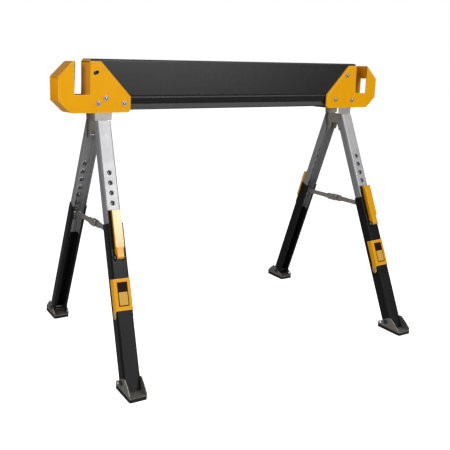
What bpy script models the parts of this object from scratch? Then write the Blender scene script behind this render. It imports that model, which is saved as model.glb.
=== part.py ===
"""Folding steel sawhorse with four height-adjustable legs.

Metres, +Z up. The origin is on the ground under the middle of the beam. +X runs along the beam
and -Y is the front, where the two support steps are. Lengths are written in millimetres and
multiplied by MM once, where a mesh is made.
"""

import math

import bmesh
import bpy
from mathutils import Matrix, Vector

MM = 0.001
FIT = 0.3            # gap between pieces that touch
SHEET = 2.0          # bracket, beam and leg sheet
PLATE = 3.0          # yoke, swivel and foot base plate
ROUND = 20           # sides of a round hole or pin

# Beam
TOP_Z = 773.5
BEAM_HEIGHT = 127.5
BEAM_HALF_WIDTH = 26.0
BEAM_BEND = 5.0
FLUTE_LINE = 37.0    # the pressed line, over the beam's bottom edge
FLUTE_DEPTH = 6.0
FLUTE_STEP = 1.5

# End brackets, each with a slot for a 38 x 89 mm board on edge
HALF_LENGTH = 523.5
BEAM_PROUD = 6.5      # the beam's top over the brackets' top
BRACKET_HEIGHT = 127.0
BRACKET_HALF_DEPTH = 32.5
EAR = 41.0
SLOT_WIDTH = 41.5
SLOT_DEPTH = 82.0
SHOULDER = 113.0     # slot to the bracket's inner edge
TOP_FLAT = 31.5
INNER_EDGE_TOP = 40.0
INNER_CORNER = (6.5, 7.0)
TOP_CHAMFER = (37.6, 37.5)
BOTTOM_CHAMFER = (30.5, 29.5)
LIP_HALF_DEPTH = BEAM_HALF_WIDTH + FIT

# Through bolts of each bracket: distance in from the slot, height over the beam's bottom edge
BOLTS = {"left": ((21.4, 17.9), (42.0, 30.3), (92.3, 16.8)),
         "right": ((13.5, 17.9), (79.9, 19.9), (39.4, 92.6))}
BOLT_RADIUS = 3.5
BOLT_HEAD_RADIUS = 6.7
BOLT_HEAD_HEIGHT = 4.0
DOME_SHARE = 0.72    # the dome's top is this share of its flange
NUT_RADIUS = 6.5
NUT_HEIGHT = 5.5
BOLT_CLEARANCE = 0.4
DRAIN_SLOT = (16.0, 93.3)
DRAIN_SLOT_SIZE = (14.0, 8.0)
DRAIN_SLOT_TURN = 20.0

# Yoke plates between bracket and beam, with the ears that the leg set swings on
FOLD_INSET = 34.0                 # fold pin, in from the slot
FOLD_DROP = 40.0                  # fold pin, under the bracket
YOKE_HALF_GAP = 27.0
YOKE_SKIRT_DROP = 19.5            # under the bracket
YOKE_SKIRT_INNER = (27.5, 25.0)   # half widths at its top and bottom, towards the middle
YOKE_SKIRT_OUTER = (22.0, 20.0)
YOKE_BAND = (7.0, 40.0)           # over the beam's bottom edge
YOKE_TAB = 9.0                    # half width of the tab up to the right bracket's third bolt
YOKE_END = (29.0, 67.0)
YOKE_EAR = 11.0
YOKE_BRIDGE = (18.0, 5.0)         # half length, and how far it reaches under the beam

SLOT_INNER_X = HALF_LENGTH - EAR - SLOT_WIDTH
BRACKET_TOP = TOP_Z - BEAM_PROUD
BRACKET_BOTTOM = BRACKET_TOP - BRACKET_HEIGHT
BEAM_BOTTOM = TOP_Z - BEAM_HEIGHT
FOLD_X = SLOT_INNER_X - FOLD_INSET
FOLD_Z = BRACKET_BOTTOM - FOLD_DROP

# Swivel and leg hinges, measured from the fold pin
HINGE_Y = 37.0
HINGE_DROP = 22.0
FOLD_PIN_RADIUS = 4.0
HINGE_PIN_RADIUS = 3.0
PIN_HEAD_HEIGHT = 2.2
SWIVEL_HALF_DEPTH = YOKE_HALF_GAP - 0.5
SWIVEL_HALF_WIDTH = 14.5
SWIVEL_LOW = -8.0
SWIVEL_HIGH = 18.0
SWIVEL_SHOULDER = 25.5
LUG_RADIUS = 8.5

# Legs: s is measured down the leg from its hinge pin, n outward from the pin
SPREAD = math.radians(21.3)
SPLAY = math.radians(2.26)
UPPER_HALF_WIDTH = 18.0
UPPER_FACE = 13.5
UPPER_DEPTH = 21.0
UPPER_TOP = -39.8
UPPER_TRIM = ((-4.0, -7.5), (-12.0, -2.0), (-24.0, 6.0), (-38.0, 11.4))
UPPER_TAIL = 51.0    # below the last hole
HOLE_FIRST = 93.2
HOLE_PITCH = 25.4
HOLE_COUNT = 8
HOLE_RADIUS = 6.5
SLIDE_GAP = 0.4
LATCH_HOLE = 4       # the latch sits in the fifth hole
TONGUE_HEAD = 7.8    # tongue above the latch
FLANGE_DROP = 24.2   # top of the lower leg's flanges, below the latch
TONGUE_HALF_WIDTH = 15.5
LEG_LIP = 6.4
LEG_LIP_SHEET = 1.5
LEG_MIDDLE = 3.0     # n of the foot's bolt

LATCH_AT = HOLE_FIRST + LATCH_HOLE * HOLE_PITCH
UPPER_END = HOLE_FIRST + (HOLE_COUNT - 1) * HOLE_PITCH + UPPER_TAIL
TONGUE_TOP = LATCH_AT - TONGUE_HEAD
LOWER_TOP = LATCH_AT + FLANGE_DROP

# Latch lever
LEVER_HALF_WIDTH = 12.0
LEVER_HEAD = 6.8     # lever above the latch
LEVER_BODY = 93.0    # down to the narrower neck
LEVER_PIN_DROP = 108.2
LEVER_PIN_OUT = 21.5
LEVER_FACE = 32.0
LEVER_NECK = 8.8
LEVER_EYE = 5.2
LEVER_EAR = (9.5, 6.5)
LEVER_PIN_RADIUS = 2.5
LATCH_RADIUS = 4.0
LATCH_COLLAR = (6.0, 3.5)
LEVER_TOP = LATCH_AT - LEVER_HEAD
LEVER_SHOULDER = LEVER_TOP + LEVER_BODY
LEVER_PIN_DOWN = LATCH_AT + LEVER_PIN_DROP

# Support step on the two front legs
STEP_DROP = 159.9    # step's top edge below the latch
STEP_HEIGHT = 74.7
STEP_PIN_DROP = 11.6
STEP_PIN_OUT = 6.0
STEP_EYE = 7.5
STEP_GAP = 0.5
STEP_CHEEK_INSET = 14.0
STEP_PIN_RADIUS = 3.0
STEP_TOP = LATCH_AT + STEP_DROP
STEP_BOTTOM = STEP_TOP + STEP_HEIGHT
STEP_PIN_DOWN = STEP_BOTTOM + STEP_PIN_DROP

# Brace between the two legs of a pair
BRACE_DROP = 49.2    # brace pin below the latch
BRACE_THICKNESS = 3.0
BRACE_INNER_GAP = 1.0
BRACE_HALF_HEIGHT = 7.0
BRACE_EYE = 7.5
KNUCKLE_HALF_HEIGHT = 10.0
KNUCKLE_LENGTH = 24.0
BRACE_OVERRUN = 12.0
BRACE_PIN_RADIUS = 3.0
RIVET_RADIUS = 4.5
RIVET_HEIGHT = 2.0
BRACE_AT = LATCH_AT + BRACE_DROP

# Feet: y runs outward from the middle of the pad
PAD_LENGTH = 81.0
PAD_HALF_WIDTH = 23.0
PAD_HEIGHT = 7.0
FOOT_CHEEK = ((-38.0, 4.0), (-38.0, 16.0), (-34.0, 21.0), (-27.0, 24.0), (-3.0, 40.0),
              (8.0, 42.0), (23.0, 30.0), (38.0, 15.0), (38.0, 4.0))
FOOT_BOLT_Y = -9.6
FOOT_BOLT_Z = 26.0
FOOT_BOLT_RADIUS = 3.5
FOOT_HOLE = (-29.0, 16.0, 3.5)

COLOURS = {
    "yellow_paint": ((0.86, 0.40, 0.02), 0.42, 0.0),
    "black_paint": ((0.035, 0.035, 0.037), 0.5, 0.0),
    "zinc": ((0.62, 0.62, 0.63), 0.35, 0.9),
    "dark_steel": ((0.10, 0.10, 0.10), 0.5, 0.6),
    "rubber": ((0.012, 0.012, 0.012), 0.85, 0.0),
}


def clear_scene():
    for old in list(bpy.data.objects):
        bpy.data.objects.remove(old, do_unlink=True)


def make_materials():
    made = {}
    for name, (colour, roughness, metallic) in COLOURS.items():
        material = bpy.data.materials.new(name)
        material.use_nodes = True
        shader = material.node_tree.nodes["Principled BSDF"]
        shader.inputs["Base Color"].default_value = (*colour, 1.0)
        shader.inputs["Roughness"].default_value = roughness
        shader.inputs["Metallic"].default_value = metallic
        made[name] = material
    return made


def area_of(points):
    pairs = zip(points, points[1:] + points[:1])
    return sum(a[0] * b[1] - b[0] * a[1] for a, b in pairs) / 2


def arc(centre, radius, start, end, steps):
    """Points on a circle, with the two angles in degrees."""
    angles = [math.radians(start + (end - start) * i / steps) for i in range(steps + 1)]
    return [(centre[0] + radius * math.cos(a), centre[1] + radius * math.sin(a)) for a in angles]


def circle(centre, radius, sides=ROUND):
    return arc(centre, radius, 0, 360, sides)[:-1]


def shift_edges(points, shifts):
    """Moves each edge of an anticlockwise outline inward by its own distance."""
    lines = []
    for (a, b), shift in zip(zip(points, points[1:] + points[:1]), shifts):
        along = (Vector(b) - Vector(a)).normalized()
        inward = Vector((-along.y, along.x))
        lines.append((Vector(a) + inward * shift, along))
    corners = []
    for (p, d), (q, e) in zip(lines[-1:] + lines[:-1], lines):
        cross = d.x * e.y - d.y * e.x
        t = ((q.x - p.x) * e.y - (q.y - p.y) * e.x) / cross
        corners.append(tuple(p + d * t))
    return corners


def ribbon(path, thickness):
    """Outline of a bent sheet whose outer side follows the path, with the sheet on its left."""
    normals = []
    for a, b in zip(path, path[1:]):
        along = (Vector(b) - Vector(a)).normalized()
        normals.append(Vector((-along.y, along.x)))
    inner = []
    for i, point in enumerate(path):
        before, after = normals[max(i - 1, 0)], normals[min(i, len(normals) - 1)]
        mitre = (before + after).normalized()
        inner.append(tuple(Vector(point) + mitre * thickness / mitre.dot(after)))
    return list(path) + inner[::-1]


AXES = {"X": (1, 2, 0), "Y": (0, 2, 1), "Z": (0, 1, 2)}


def add_prism(mesh, outline, axis, low, high):
    """Adds an outline in the plane across an axis, extruded along that axis, to a bmesh."""
    first, second, third = AXES[axis]
    if area_of(outline) < 0:
        outline = outline[::-1]

    def place(point, height):
        spot = [0.0, 0.0, 0.0]
        spot[first], spot[second], spot[third] = point[0], point[1], height
        return mesh.verts.new(Vector(spot) * MM)

    base = [place(point, low) for point in outline]
    cap = [place(point, high) for point in outline]
    flip = axis == "Y"
    faces = [base[::-1] if not flip else base, cap if not flip else cap[::-1]]
    for i in range(len(outline)):
        j = (i + 1) % len(outline)
        side = [base[i], base[j], cap[j], cap[i]]
        faces.append(side[::-1] if flip else side)
    for face in faces:
        mesh.faces.new(face)


def box_outline(low, high):
    return [low, (high[0], low[1]), high, (low[0], high[1])]


class Shop:
    """Makes the objects, and keeps the cutters and additions that their Booleans use."""

    def __init__(self, materials):
        self.materials = materials

    def solid(self, name, prisms, material=None, parent=None, matrix=None):
        mesh = bmesh.new()
        for prism in prisms:
            add_prism(mesh, *prism)
        data = bpy.data.meshes.new(name)
        mesh.to_mesh(data)
        mesh.free()
        thing = bpy.data.objects.new(name, data)
        bpy.context.collection.objects.link(thing)
        if material:
            data.materials.append(self.materials[material])
        if parent:
            thing.parent = parent
        if matrix is not None:
            thing.matrix_basis = matrix
        return thing

    def change(self, thing, operation, prisms, parent=None, matrix=None):
        """Cuts prisms out of a thing, or joins them to it, in its own frame or in one given."""
        if matrix is None:
            parent, matrix = thing.parent, thing.matrix_basis
        tool = self.solid(f"{thing.name}.tool", prisms, None, parent, matrix)
        tool.hide_render = True
        tool.hide_set(True)
        tool.display_type = "WIRE"
        step = thing.modifiers.new(operation.lower(), "BOOLEAN")
        step.operation = operation
        step.solver = "EXACT"
        step.object = tool
        return thing


def make_empty(name, matrix, parent=None):
    empty = bpy.data.objects.new(name, None)
    bpy.context.collection.objects.link(empty)
    empty.parent = parent
    empty.matrix_basis = matrix
    return empty


def shifted(x, y, z):
    return Matrix.Translation(Vector((x, y, z)) * MM)


def turned(angle, axis):
    return Matrix.Rotation(angle, 4, axis)


def headed_pin(axis, centre, radius, reach, head_radius, head_height, sides=ROUND):
    """A pin through the origin of an axis, with a formed head at each end."""
    shank = circle(centre, radius, sides)
    head = circle(centre, head_radius, sides)
    return ([(shank, axis, -reach - head_height / 2, reach + head_height / 2)],
            [(head, axis, reach, reach + head_height), (head, axis, -reach - head_height, -reach)])


def beam_profile():
    """Outer line of the beam's sheet, down the back, over the top and down the front."""
    half, top, bottom = BEAM_HALF_WIDTH, TOP_Z, BEAM_BOTTOM
    flute, line = half - FLUTE_DEPTH, bottom + FLUTE_LINE
    lower = [(half, bottom), (half, bottom + 3), (flute, bottom + 14), (half, line - 6.5),
             (half - FLUTE_STEP, line - 3.5), (half, line)]
    bend = arc((half - BEAM_BEND, top - BEAM_BEND), BEAM_BEND, 0, 90, 4)
    right = lower + bend
    return right + [(-y, z) for y, z in right[::-1]]


def bracket_outline():
    """The bracket's side view without its slot, anticlockwise from the inner bottom corner."""
    end, bottom = HALF_LENGTH, BRACKET_BOTTOM
    inner = SLOT_INNER_X - SHOULDER
    return [(inner + INNER_CORNER[0], bottom), (end - BOTTOM_CHAMFER[0], bottom),
            (end, bottom + BOTTOM_CHAMFER[1]), (end, BRACKET_TOP - TOP_CHAMFER[1]),
            (end - TOP_CHAMFER[0], BRACKET_TOP), (SLOT_INNER_X - TOP_FLAT, BRACKET_TOP),
            (inner, bottom + INNER_EDGE_TOP), (inner, bottom + INNER_CORNER[1])]


def bolt_places(word, side):
    """Centres of one bracket's bolts in x and z."""
    return [(side * (SLOT_INNER_X - inward), BEAM_BOTTOM + height)
            for inward, height in BOLTS[word]]


def bolt_bores(places, half):
    return [(circle(place, BOLT_RADIUS + BOLT_CLEARANCE), "Y", -half, half) for place in places]


def drain_slot_outline():
    length, width = DRAIN_SLOT_SIZE
    reach, radius = (length - width) / 2, width / 2
    outline = arc((reach, 0), radius, -90, 90, 6) + arc((-reach, 0), radius, 90, 270, 6)
    turn = Matrix.Rotation(math.radians(-DRAIN_SLOT_TURN), 2)
    centre = Vector((SLOT_INNER_X - DRAIN_SLOT[0], BEAM_BOTTOM + DRAIN_SLOT[1]))
    return [tuple(turn @ Vector(point) + centre) for point in outline]


def make_beam(shop, bolts):
    profile = ribbon(beam_profile(), SHEET)
    reach = SLOT_INNER_X - SHEET - FIT
    beam = shop.solid("beam", [(profile, "X", -reach, reach)], "black_paint")
    places = [place for group in bolts.values() for place in group]
    return shop.change(beam, "DIFFERENCE", bolt_bores(places, BEAM_HALF_WIDTH + 2))


def make_bracket(shop, name, side, places):
    """An end bracket; side is 1 at +X and -1 at -X, where it stands turned half round."""
    frame = make_empty(f"{name}_frame", turned(0 if side > 0 else math.pi, "Z"))
    outline = bracket_outline()
    half, inside = BRACKET_HALF_DEPTH, BRACKET_HALF_DEPTH - SHEET
    bracket = shop.solid(name, [(outline, "Y", -half, half)], "yellow_paint", frame)
    # The ear's two slanted edges and the inner edge keep their flange; the other edges are open
    hollow = shift_edges(outline, (-10, SHEET, -10, SHEET, -10, SHEET, SHEET, SHEET))
    shop.change(bracket, "DIFFERENCE", [(hollow, "Y", -inside, inside)])
    mouth = shift_edges(outline, (-10, SHEET, -10, SHEET, -10, -10, -10, -10))
    shop.change(bracket, "DIFFERENCE", [(mouth, "Y", -LIP_HALF_DEPTH, LIP_HALF_DEPTH)])
    wall_x = SLOT_INNER_X
    slot_z = BRACKET_TOP - SLOT_DEPTH
    wall = box_outline((wall_x - SHEET, slot_z - 4), (wall_x + 4, BRACKET_TOP - SHEET))
    shop.change(bracket, "UNION", [(wall, "Y", -half + SHEET / 2, half - SHEET / 2)])
    slot = box_outline((wall_x, slot_z), (wall_x + SLOT_WIDTH, BRACKET_TOP + 20))
    shop.change(bracket, "DIFFERENCE", [(slot, "Y", -half - 5, half + 5)])
    shop.change(bracket, "DIFFERENCE", bolt_bores(places, half + 2), None, Matrix())
    if side < 0:
        shop.change(bracket, "DIFFERENCE", [(drain_slot_outline(), "Y", -half - 2, half + 2)])
    return bracket


def make_bolts(shop, name, places):
    """Dome-headed bolts through bracket, yoke and beam, each with its nut at the back."""
    near = BRACKET_HALF_DEPTH + FIT
    for number, place in enumerate(places, 1):
        shank = circle(place, BOLT_RADIUS)
        bolt = shop.solid(f"{name}_bolt_{number}",
                          [(shank, "Y", -near - BOLT_HEAD_HEIGHT / 2, near + NUT_HEIGHT + 2)],
                          "zinc")
        flange = circle(place, BOLT_HEAD_RADIUS)
        dome = circle(place, BOLT_HEAD_RADIUS * DOME_SHARE)
        nut = circle(place, NUT_RADIUS, 6)
        shop.change(bolt, "UNION", [(flange, "Y", -near - BOLT_HEAD_HEIGHT / 2, -near),
                                    (nut, "Y", near, near + NUT_HEIGHT)])
        shop.change(bolt, "UNION", [(dome, "Y", -near - BOLT_HEAD_HEIGHT, -near - 1)])


def yoke_outline():
    x = FOLD_X
    low, high = (BEAM_BOTTOM + height for height in YOKE_BAND)
    (in_wide, in_narrow), (out_wide, out_narrow) = YOKE_SKIRT_INNER, YOKE_SKIRT_OUTER
    skirt, ear = BRACKET_BOTTOM - YOKE_SKIRT_DROP, YOKE_EAR
    tab_in, tab_up = BOLTS["right"][2]
    tab_end = arc((SLOT_INNER_X - tab_in, BEAM_BOTTOM + tab_up), YOKE_TAB, 0, 180, 8)
    ear_end = arc((x, FOLD_Z), ear, 180, 360, 10)
    return ([(x - YOKE_END[1], low), (x - in_wide, low), (x - in_narrow, skirt), (x - ear, skirt)]
            + ear_end + [(x + ear, skirt), (x + out_narrow, skirt), (x + out_wide, low),
                         (x + YOKE_END[0], low), (x + YOKE_END[0], high),
                         (tab_end[0][0], high)] + tab_end
            + [(tab_end[-1][0], high), (x - YOKE_END[1], high)])


def make_yoke(shop, name, side, places):
    outline = [(side * x, z) for x, z in yoke_outline()]
    near, far = YOKE_HALF_GAP, YOKE_HALF_GAP + PLATE
    plates = [(outline, "Y", near, far), (outline, "Y", -far, -near)]
    yoke = shop.solid(name, plates, "zinc")
    half, under = YOKE_BRIDGE
    bridge_z = BEAM_BOTTOM - under
    bridge = box_outline((side * FOLD_X - half, bridge_z), (side * FOLD_X + half, bridge_z + PLATE))
    shop.change(yoke, "UNION", [(bridge, "Y", -near - PLATE / 2, near + PLATE / 2)])
    holes = bolt_bores(places, far + 2)
    holes.append((circle((side * FOLD_X, FOLD_Z), FOLD_PIN_RADIUS + FIT), "Y", -far - 2, far + 2))
    shop.change(yoke, "DIFFERENCE", holes)
    shank, heads = headed_pin("Y", (side * FOLD_X, FOLD_Z), FOLD_PIN_RADIUS, far + FIT,
                              FOLD_PIN_RADIUS + 3, PIN_HEAD_HEIGHT)
    pin = shop.solid(f"{name}_fold_pin", shank, "zinc")
    shop.change(pin, "UNION", heads)


def make_swivel(shop, name, set_frame):
    """The folded piece between the yoke's ears that both legs hinge on."""
    half, wide = SWIVEL_HALF_DEPTH, SWIVEL_HALF_WIDTH
    low, high = SWIVEL_LOW, SWIVEL_HIGH
    cheek = [(-wide, low), (wide, low), (wide, high), (-wide, high)]
    cheeks = [(cheek, "Y", half - PLATE, half), (cheek, "Y", -half, PLATE - half)]
    swivel = shop.solid(name, cheeks, "zinc", set_frame)
    shoulder, step = SWIVEL_SHOULDER, LUG_RADIUS - HINGE_DROP
    lug = (arc((HINGE_Y, -HINGE_DROP), LUG_RADIUS, -90, 90, 8)
           + [(shoulder, step), (shoulder, high), (-shoulder, high), (-shoulder, step)]
           + arc((-HINGE_Y, -HINGE_DROP), LUG_RADIUS, 90, 270, 8)
           + [(-21.0, -LUG_RADIUS - HINGE_DROP), (-13.0, low), (13.0, low),
              (21.0, -LUG_RADIUS - HINGE_DROP)])
    lugs = [(lug, "X", wide - PLATE, wide), (lug, "X", -wide, PLATE - wide)]
    shop.change(swivel, "UNION", lugs)
    shop.change(swivel, "DIFFERENCE",
                [(circle((0, 0), FOLD_PIN_RADIUS + FIT), "Y", -half - 5, half + 5)])
    bores = [(circle((y, -HINGE_DROP), HINGE_PIN_RADIUS + FIT), "X", -wide - 5, wide + 5)
             for y in (-HINGE_Y, HINGE_Y)]
    shop.change(swivel, "DIFFERENCE", bores)
    for word, y in (("front", -HINGE_Y), ("back", HINGE_Y)):
        shank, heads = headed_pin("X", (y, -HINGE_DROP), HINGE_PIN_RADIUS, UPPER_HALF_WIDTH + FIT,
                                  HINGE_PIN_RADIUS + 2.5, PIN_HEAD_HEIGHT)
        pin = shop.solid(f"{name}_{word}_pin", shank, "zinc", set_frame)
        shop.change(pin, "UNION", heads)


def channel(half_width, face, depth, lip=0.0):
    """Outline across a leg of a channel open on its inner side, in x and n."""
    low = face - depth
    path = [(-half_width, low), (-half_width, face), (half_width, face), (half_width, low)]
    outline = ribbon(path[::-1], SHEET)
    if not lip:
        return outline
    # The edges turn in by a lip that keeps the upper leg from falling out
    inner, floor = half_width - SHEET, face - SHEET
    top = low + LEG_LIP_SHEET
    return [(-half_width, low), (-half_width + lip, low), (-half_width + lip, top), (-inner, top),
            (-inner, floor), (inner, floor), (inner, top), (half_width - lip, top),
            (half_width - lip, low), (half_width, low), (half_width, face), (-half_width, face)]


def along(s_low, s_high):
    """Extent on the leg's own Z, which points up, between two distances down the leg."""
    return -s_high, -s_low


def side_view(points):
    """An outline given as (s, n) in the leg's own (n, z)."""
    return [(n, -s) for s, n in points]


def make_upper_leg(shop, name, leg_frame):
    outline = channel(UPPER_HALF_WIDTH, UPPER_FACE, UPPER_DEPTH)
    leg = shop.solid(f"{name}_upper_leg", [(outline, "Z", *along(UPPER_TOP, UPPER_END))],
                     "zinc", leg_frame)
    start, end = UPPER_TRIM[0], UPPER_TRIM[-1]
    beyond = UPPER_TOP - 20
    trim = side_view([(beyond, -UPPER_DEPTH), (start[0], -UPPER_DEPTH), *UPPER_TRIM,
                      (beyond, end[1])])
    shop.change(leg, "DIFFERENCE", [(trim, "X", -UPPER_HALF_WIDTH - 5, UPPER_HALF_WIDTH + 5)])
    holes = [(circle((0, -HOLE_FIRST - i * HOLE_PITCH), HOLE_RADIUS), "Y", UPPER_FACE - 5,
              UPPER_FACE + 3) for i in range(HOLE_COUNT)]
    shop.change(leg, "DIFFERENCE", holes)
    reach = UPPER_HALF_WIDTH + 3
    bores = [(circle((0, -s), radius + FIT), "X", -reach, reach)
             for s, radius in ((0, HINGE_PIN_RADIUS), (BRACE_AT, BRACE_PIN_RADIUS))]
    shop.change(leg, "DIFFERENCE", bores)
    pin_reach = UPPER_HALF_WIDTH - 0.1
    shop.solid(f"{name}_brace_pin",
               [(circle((0, -BRACE_AT), BRACE_PIN_RADIUS), "X", -pin_reach, pin_reach)],
               "zinc", leg_frame)


def lower_face():
    return UPPER_FACE + SLIDE_GAP + SHEET


def lower_half_width():
    return UPPER_HALF_WIDTH + SLIDE_GAP + SHEET


def make_lower_leg(shop, name, leg_frame, foot_frame, has_step):
    face, half = lower_face(), lower_half_width()
    depth = UPPER_DEPTH + SLIDE_GAP * 2 + SHEET + LEG_LIP_SHEET
    past_ground = (FOLD_Z - HINGE_DROP) / math.cos(SPREAD) + PAD_LENGTH / 2
    outline = channel(half, face, depth, LEG_LIP)
    leg = shop.solid(f"{name}_lower_leg", [(outline, "Z", *along(TONGUE_TOP, past_ground))],
                     "black_paint", leg_frame)
    # Over the flanges' top only a narrower tongue of the web stays, behind the latch
    beside = [box_outline((side * TONGUE_HALF_WIDTH, -30), (side * 30, 30)) for side in (-1, 1)]
    shop.change(leg, "DIFFERENCE", [(strip, "Z", *along(TONGUE_TOP - 9, LOWER_TOP))
                                    for strip in beside])
    s, n = LEVER_PIN_DOWN, LEVER_PIN_OUT
    out, radius = LEVER_EAR
    ear = side_view([(s + 11, face - 1), (s - 11, face - 1)]) + arc((n, -s), radius, 75, -75, 8)
    shop.change(leg, "UNION", [(ear, "X", out, out + SHEET), (ear, "X", -out - SHEET, -out)])
    # The leg's end is square to the ground, just over the foot's base plate
    ground = PAD_HEIGHT + PLATE + 2 * FIT
    floor = box_outline((-60, -90), (60, 90))
    shop.change(leg, "DIFFERENCE", [(floor, "Z", -120, ground)], foot_frame, Matrix())
    bores = [(circle((0, -LATCH_AT), LATCH_RADIUS + 1), "Y", face - 5, face + 5),
             (circle((n, -s), LEVER_PIN_RADIUS + FIT), "X", -out - 6, out + 6)]
    if has_step:
        bores.append((circle((STEP_PIN_OUT, -STEP_PIN_DOWN), STEP_PIN_RADIUS + FIT), "X",
                      -half - 5, half + 5))
    shop.change(leg, "DIFFERENCE", bores)
    shop.change(leg, "DIFFERENCE",
                [(circle((FOOT_BOLT_Y, FOOT_BOLT_Z), FOOT_BOLT_RADIUS + FIT), "X",
                  -half - 5, half + 5)], foot_frame, turned(foot_frame["tilt"], "Y"))


def foot_y():
    """Middle of the pad, from where the leg's middle is at the height of the foot's bolt."""
    drop = FOLD_Z - HINGE_DROP - FOOT_BOLT_Z
    bolt = HINGE_Y + drop * math.tan(SPREAD) + LEG_MIDDLE / math.cos(SPREAD)
    return bolt - FOOT_BOLT_Y


def make_lever(shop, name, leg_frame):
    """The latch lever: a channel with a narrower neck that turns between two ears of the leg."""
    base = lower_face() + 0.7
    depth = LEVER_FACE - base
    body = channel(LEVER_HALF_WIDTH, LEVER_FACE, depth)
    lever = shop.solid(f"{name}_lever", [(body, "Z", *along(LEVER_TOP, LEVER_SHOULDER))],
                       "yellow_paint", leg_frame)
    cap = box_outline((-LEVER_HALF_WIDTH + SHEET / 2, base + 0.5),
                      (LEVER_HALF_WIDTH - SHEET / 2, LEVER_FACE - SHEET / 2))
    shop.change(lever, "UNION", [(cap, "Z", *along(LEVER_TOP + 0.2, LEVER_TOP + SHEET))])
    latch = circle((0, -LATCH_AT), LATCH_RADIUS)
    collar = circle((0, -LATCH_AT), LATCH_COLLAR[0])
    seat = LEVER_FACE - SHEET / 2
    shop.change(lever, "UNION", [(latch, "Y", UPPER_FACE + SLIDE_GAP, seat)])
    shop.change(lever, "UNION", [(collar, "Y", seat - LATCH_COLLAR[1], seat - 0.2)])
    s, n = LEVER_PIN_DOWN, LEVER_PIN_OUT
    neck_face = LEVER_FACE - 0.4
    neck = channel(LEVER_NECK, neck_face, neck_face - base)
    shop.change(lever, "UNION", [(neck, "Z", *along(LEVER_SHOULDER - 8, s))])
    eye = side_view([(s - 2, base), (s - 2, neck_face - 1), (s + 1, neck_face - 1)])
    eye += arc((n, -s), LEVER_EYE, -10, -150, 8)
    inner = LEVER_NECK - SHEET
    shop.change(lever, "UNION", [(eye, "X", inner + 0.1, LEVER_NECK - 0.1),
                                 (eye, "X", 0.1 - LEVER_NECK, -inner - 0.1)])
    shop.change(lever, "DIFFERENCE",
                [(circle((n, -s), LEVER_PIN_RADIUS + FIT), "X", -LEVER_NECK - 5, LEVER_NECK + 5)])
    out = LEVER_EAR[0] + SHEET + FIT
    shank, heads = headed_pin("X", (n, -s), LEVER_PIN_RADIUS, out, LEVER_PIN_RADIUS + 1.5, 1.5)
    pin = shop.solid(f"{name}_lever_pin", shank, "zinc", leg_frame)
    shop.change(pin, "UNION", heads)


def make_step(shop, name, leg_frame):
    """The flip-down support step: a cover round the leg, hinged at the tails of its cheeks."""
    inner, near = lower_half_width() + STEP_GAP, lower_face() + STEP_GAP
    half, face = inner + SHEET, near + SHEET
    low = face - SHEET - STEP_CHEEK_INSET
    cover = channel(half, face, face - low)
    step = shop.solid(f"{name}_step", [(cover, "Z", *along(STEP_TOP, STEP_BOTTOM))],
                      "yellow_paint", leg_frame)
    cap = box_outline((-inner - SHEET / 2, near + 0.1), (inner + SHEET / 2, face - 0.1))
    shop.change(step, "UNION", [(cap, "Z", *along(STEP_TOP - 1, STEP_TOP + SHEET))])
    s, n = STEP_PIN_DOWN, STEP_PIN_OUT
    tail = side_view([(STEP_BOTTOM - 6, low + 0.5), (STEP_BOTTOM - 6, face - 3)])
    tail = tail + arc((n, -s), STEP_EYE, 10, -190, 12)
    shop.change(step, "UNION", [(tail, "X", inner + 0.1, half - 0.1),
                                (tail, "X", 0.1 - half, -inner - 0.1)])
    shop.change(step, "DIFFERENCE",
                [(circle((n, -s), STEP_PIN_RADIUS + FIT), "X", -half - 5, half + 5)])
    shank, heads = headed_pin("X", (n, -s), STEP_PIN_RADIUS, half + FIT, STEP_PIN_RADIUS + 2, 1.8)
    pin = shop.solid(f"{name}_step_pin", shank, "zinc", leg_frame)
    shop.change(pin, "UNION", heads)


def make_brace(shop, name, brace_frame, length):
    """Half of a brace, from its leg to the knuckle; the rivet in the knuckle is left open."""
    far, near = -BRACE_INNER_GAP - BRACE_THICKNESS, -BRACE_INNER_GAP
    start, end = -length + KNUCKLE_LENGTH, -length - BRACE_OVERRUN
    bar = arc((0, 0), BRACE_EYE, -60, 60, 8)
    bar += [(start + 8, BRACE_HALF_HEIGHT), (start, KNUCKLE_HALF_HEIGHT),
            (end + 4, KNUCKLE_HALF_HEIGHT), (end, KNUCKLE_HALF_HEIGHT - 4),
            (end, 4 - KNUCKLE_HALF_HEIGHT), (end + 4, -KNUCKLE_HALF_HEIGHT),
            (start, -KNUCKLE_HALF_HEIGHT), (start + 8, -BRACE_HALF_HEIGHT)]
    brace = shop.solid(f"{name}_brace", [(bar, "X", far, near)], "zinc", brace_frame)
    rivet = circle((-length, 0), RIVET_RADIUS, 14)
    shop.change(brace, "UNION", [(rivet, "X", far - RIVET_HEIGHT, far + 1)])
    shop.change(brace, "DIFFERENCE",
                [(circle((0, 0), BRACE_PIN_RADIUS + FIT), "X", far - 5, near + 5)])


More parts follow.
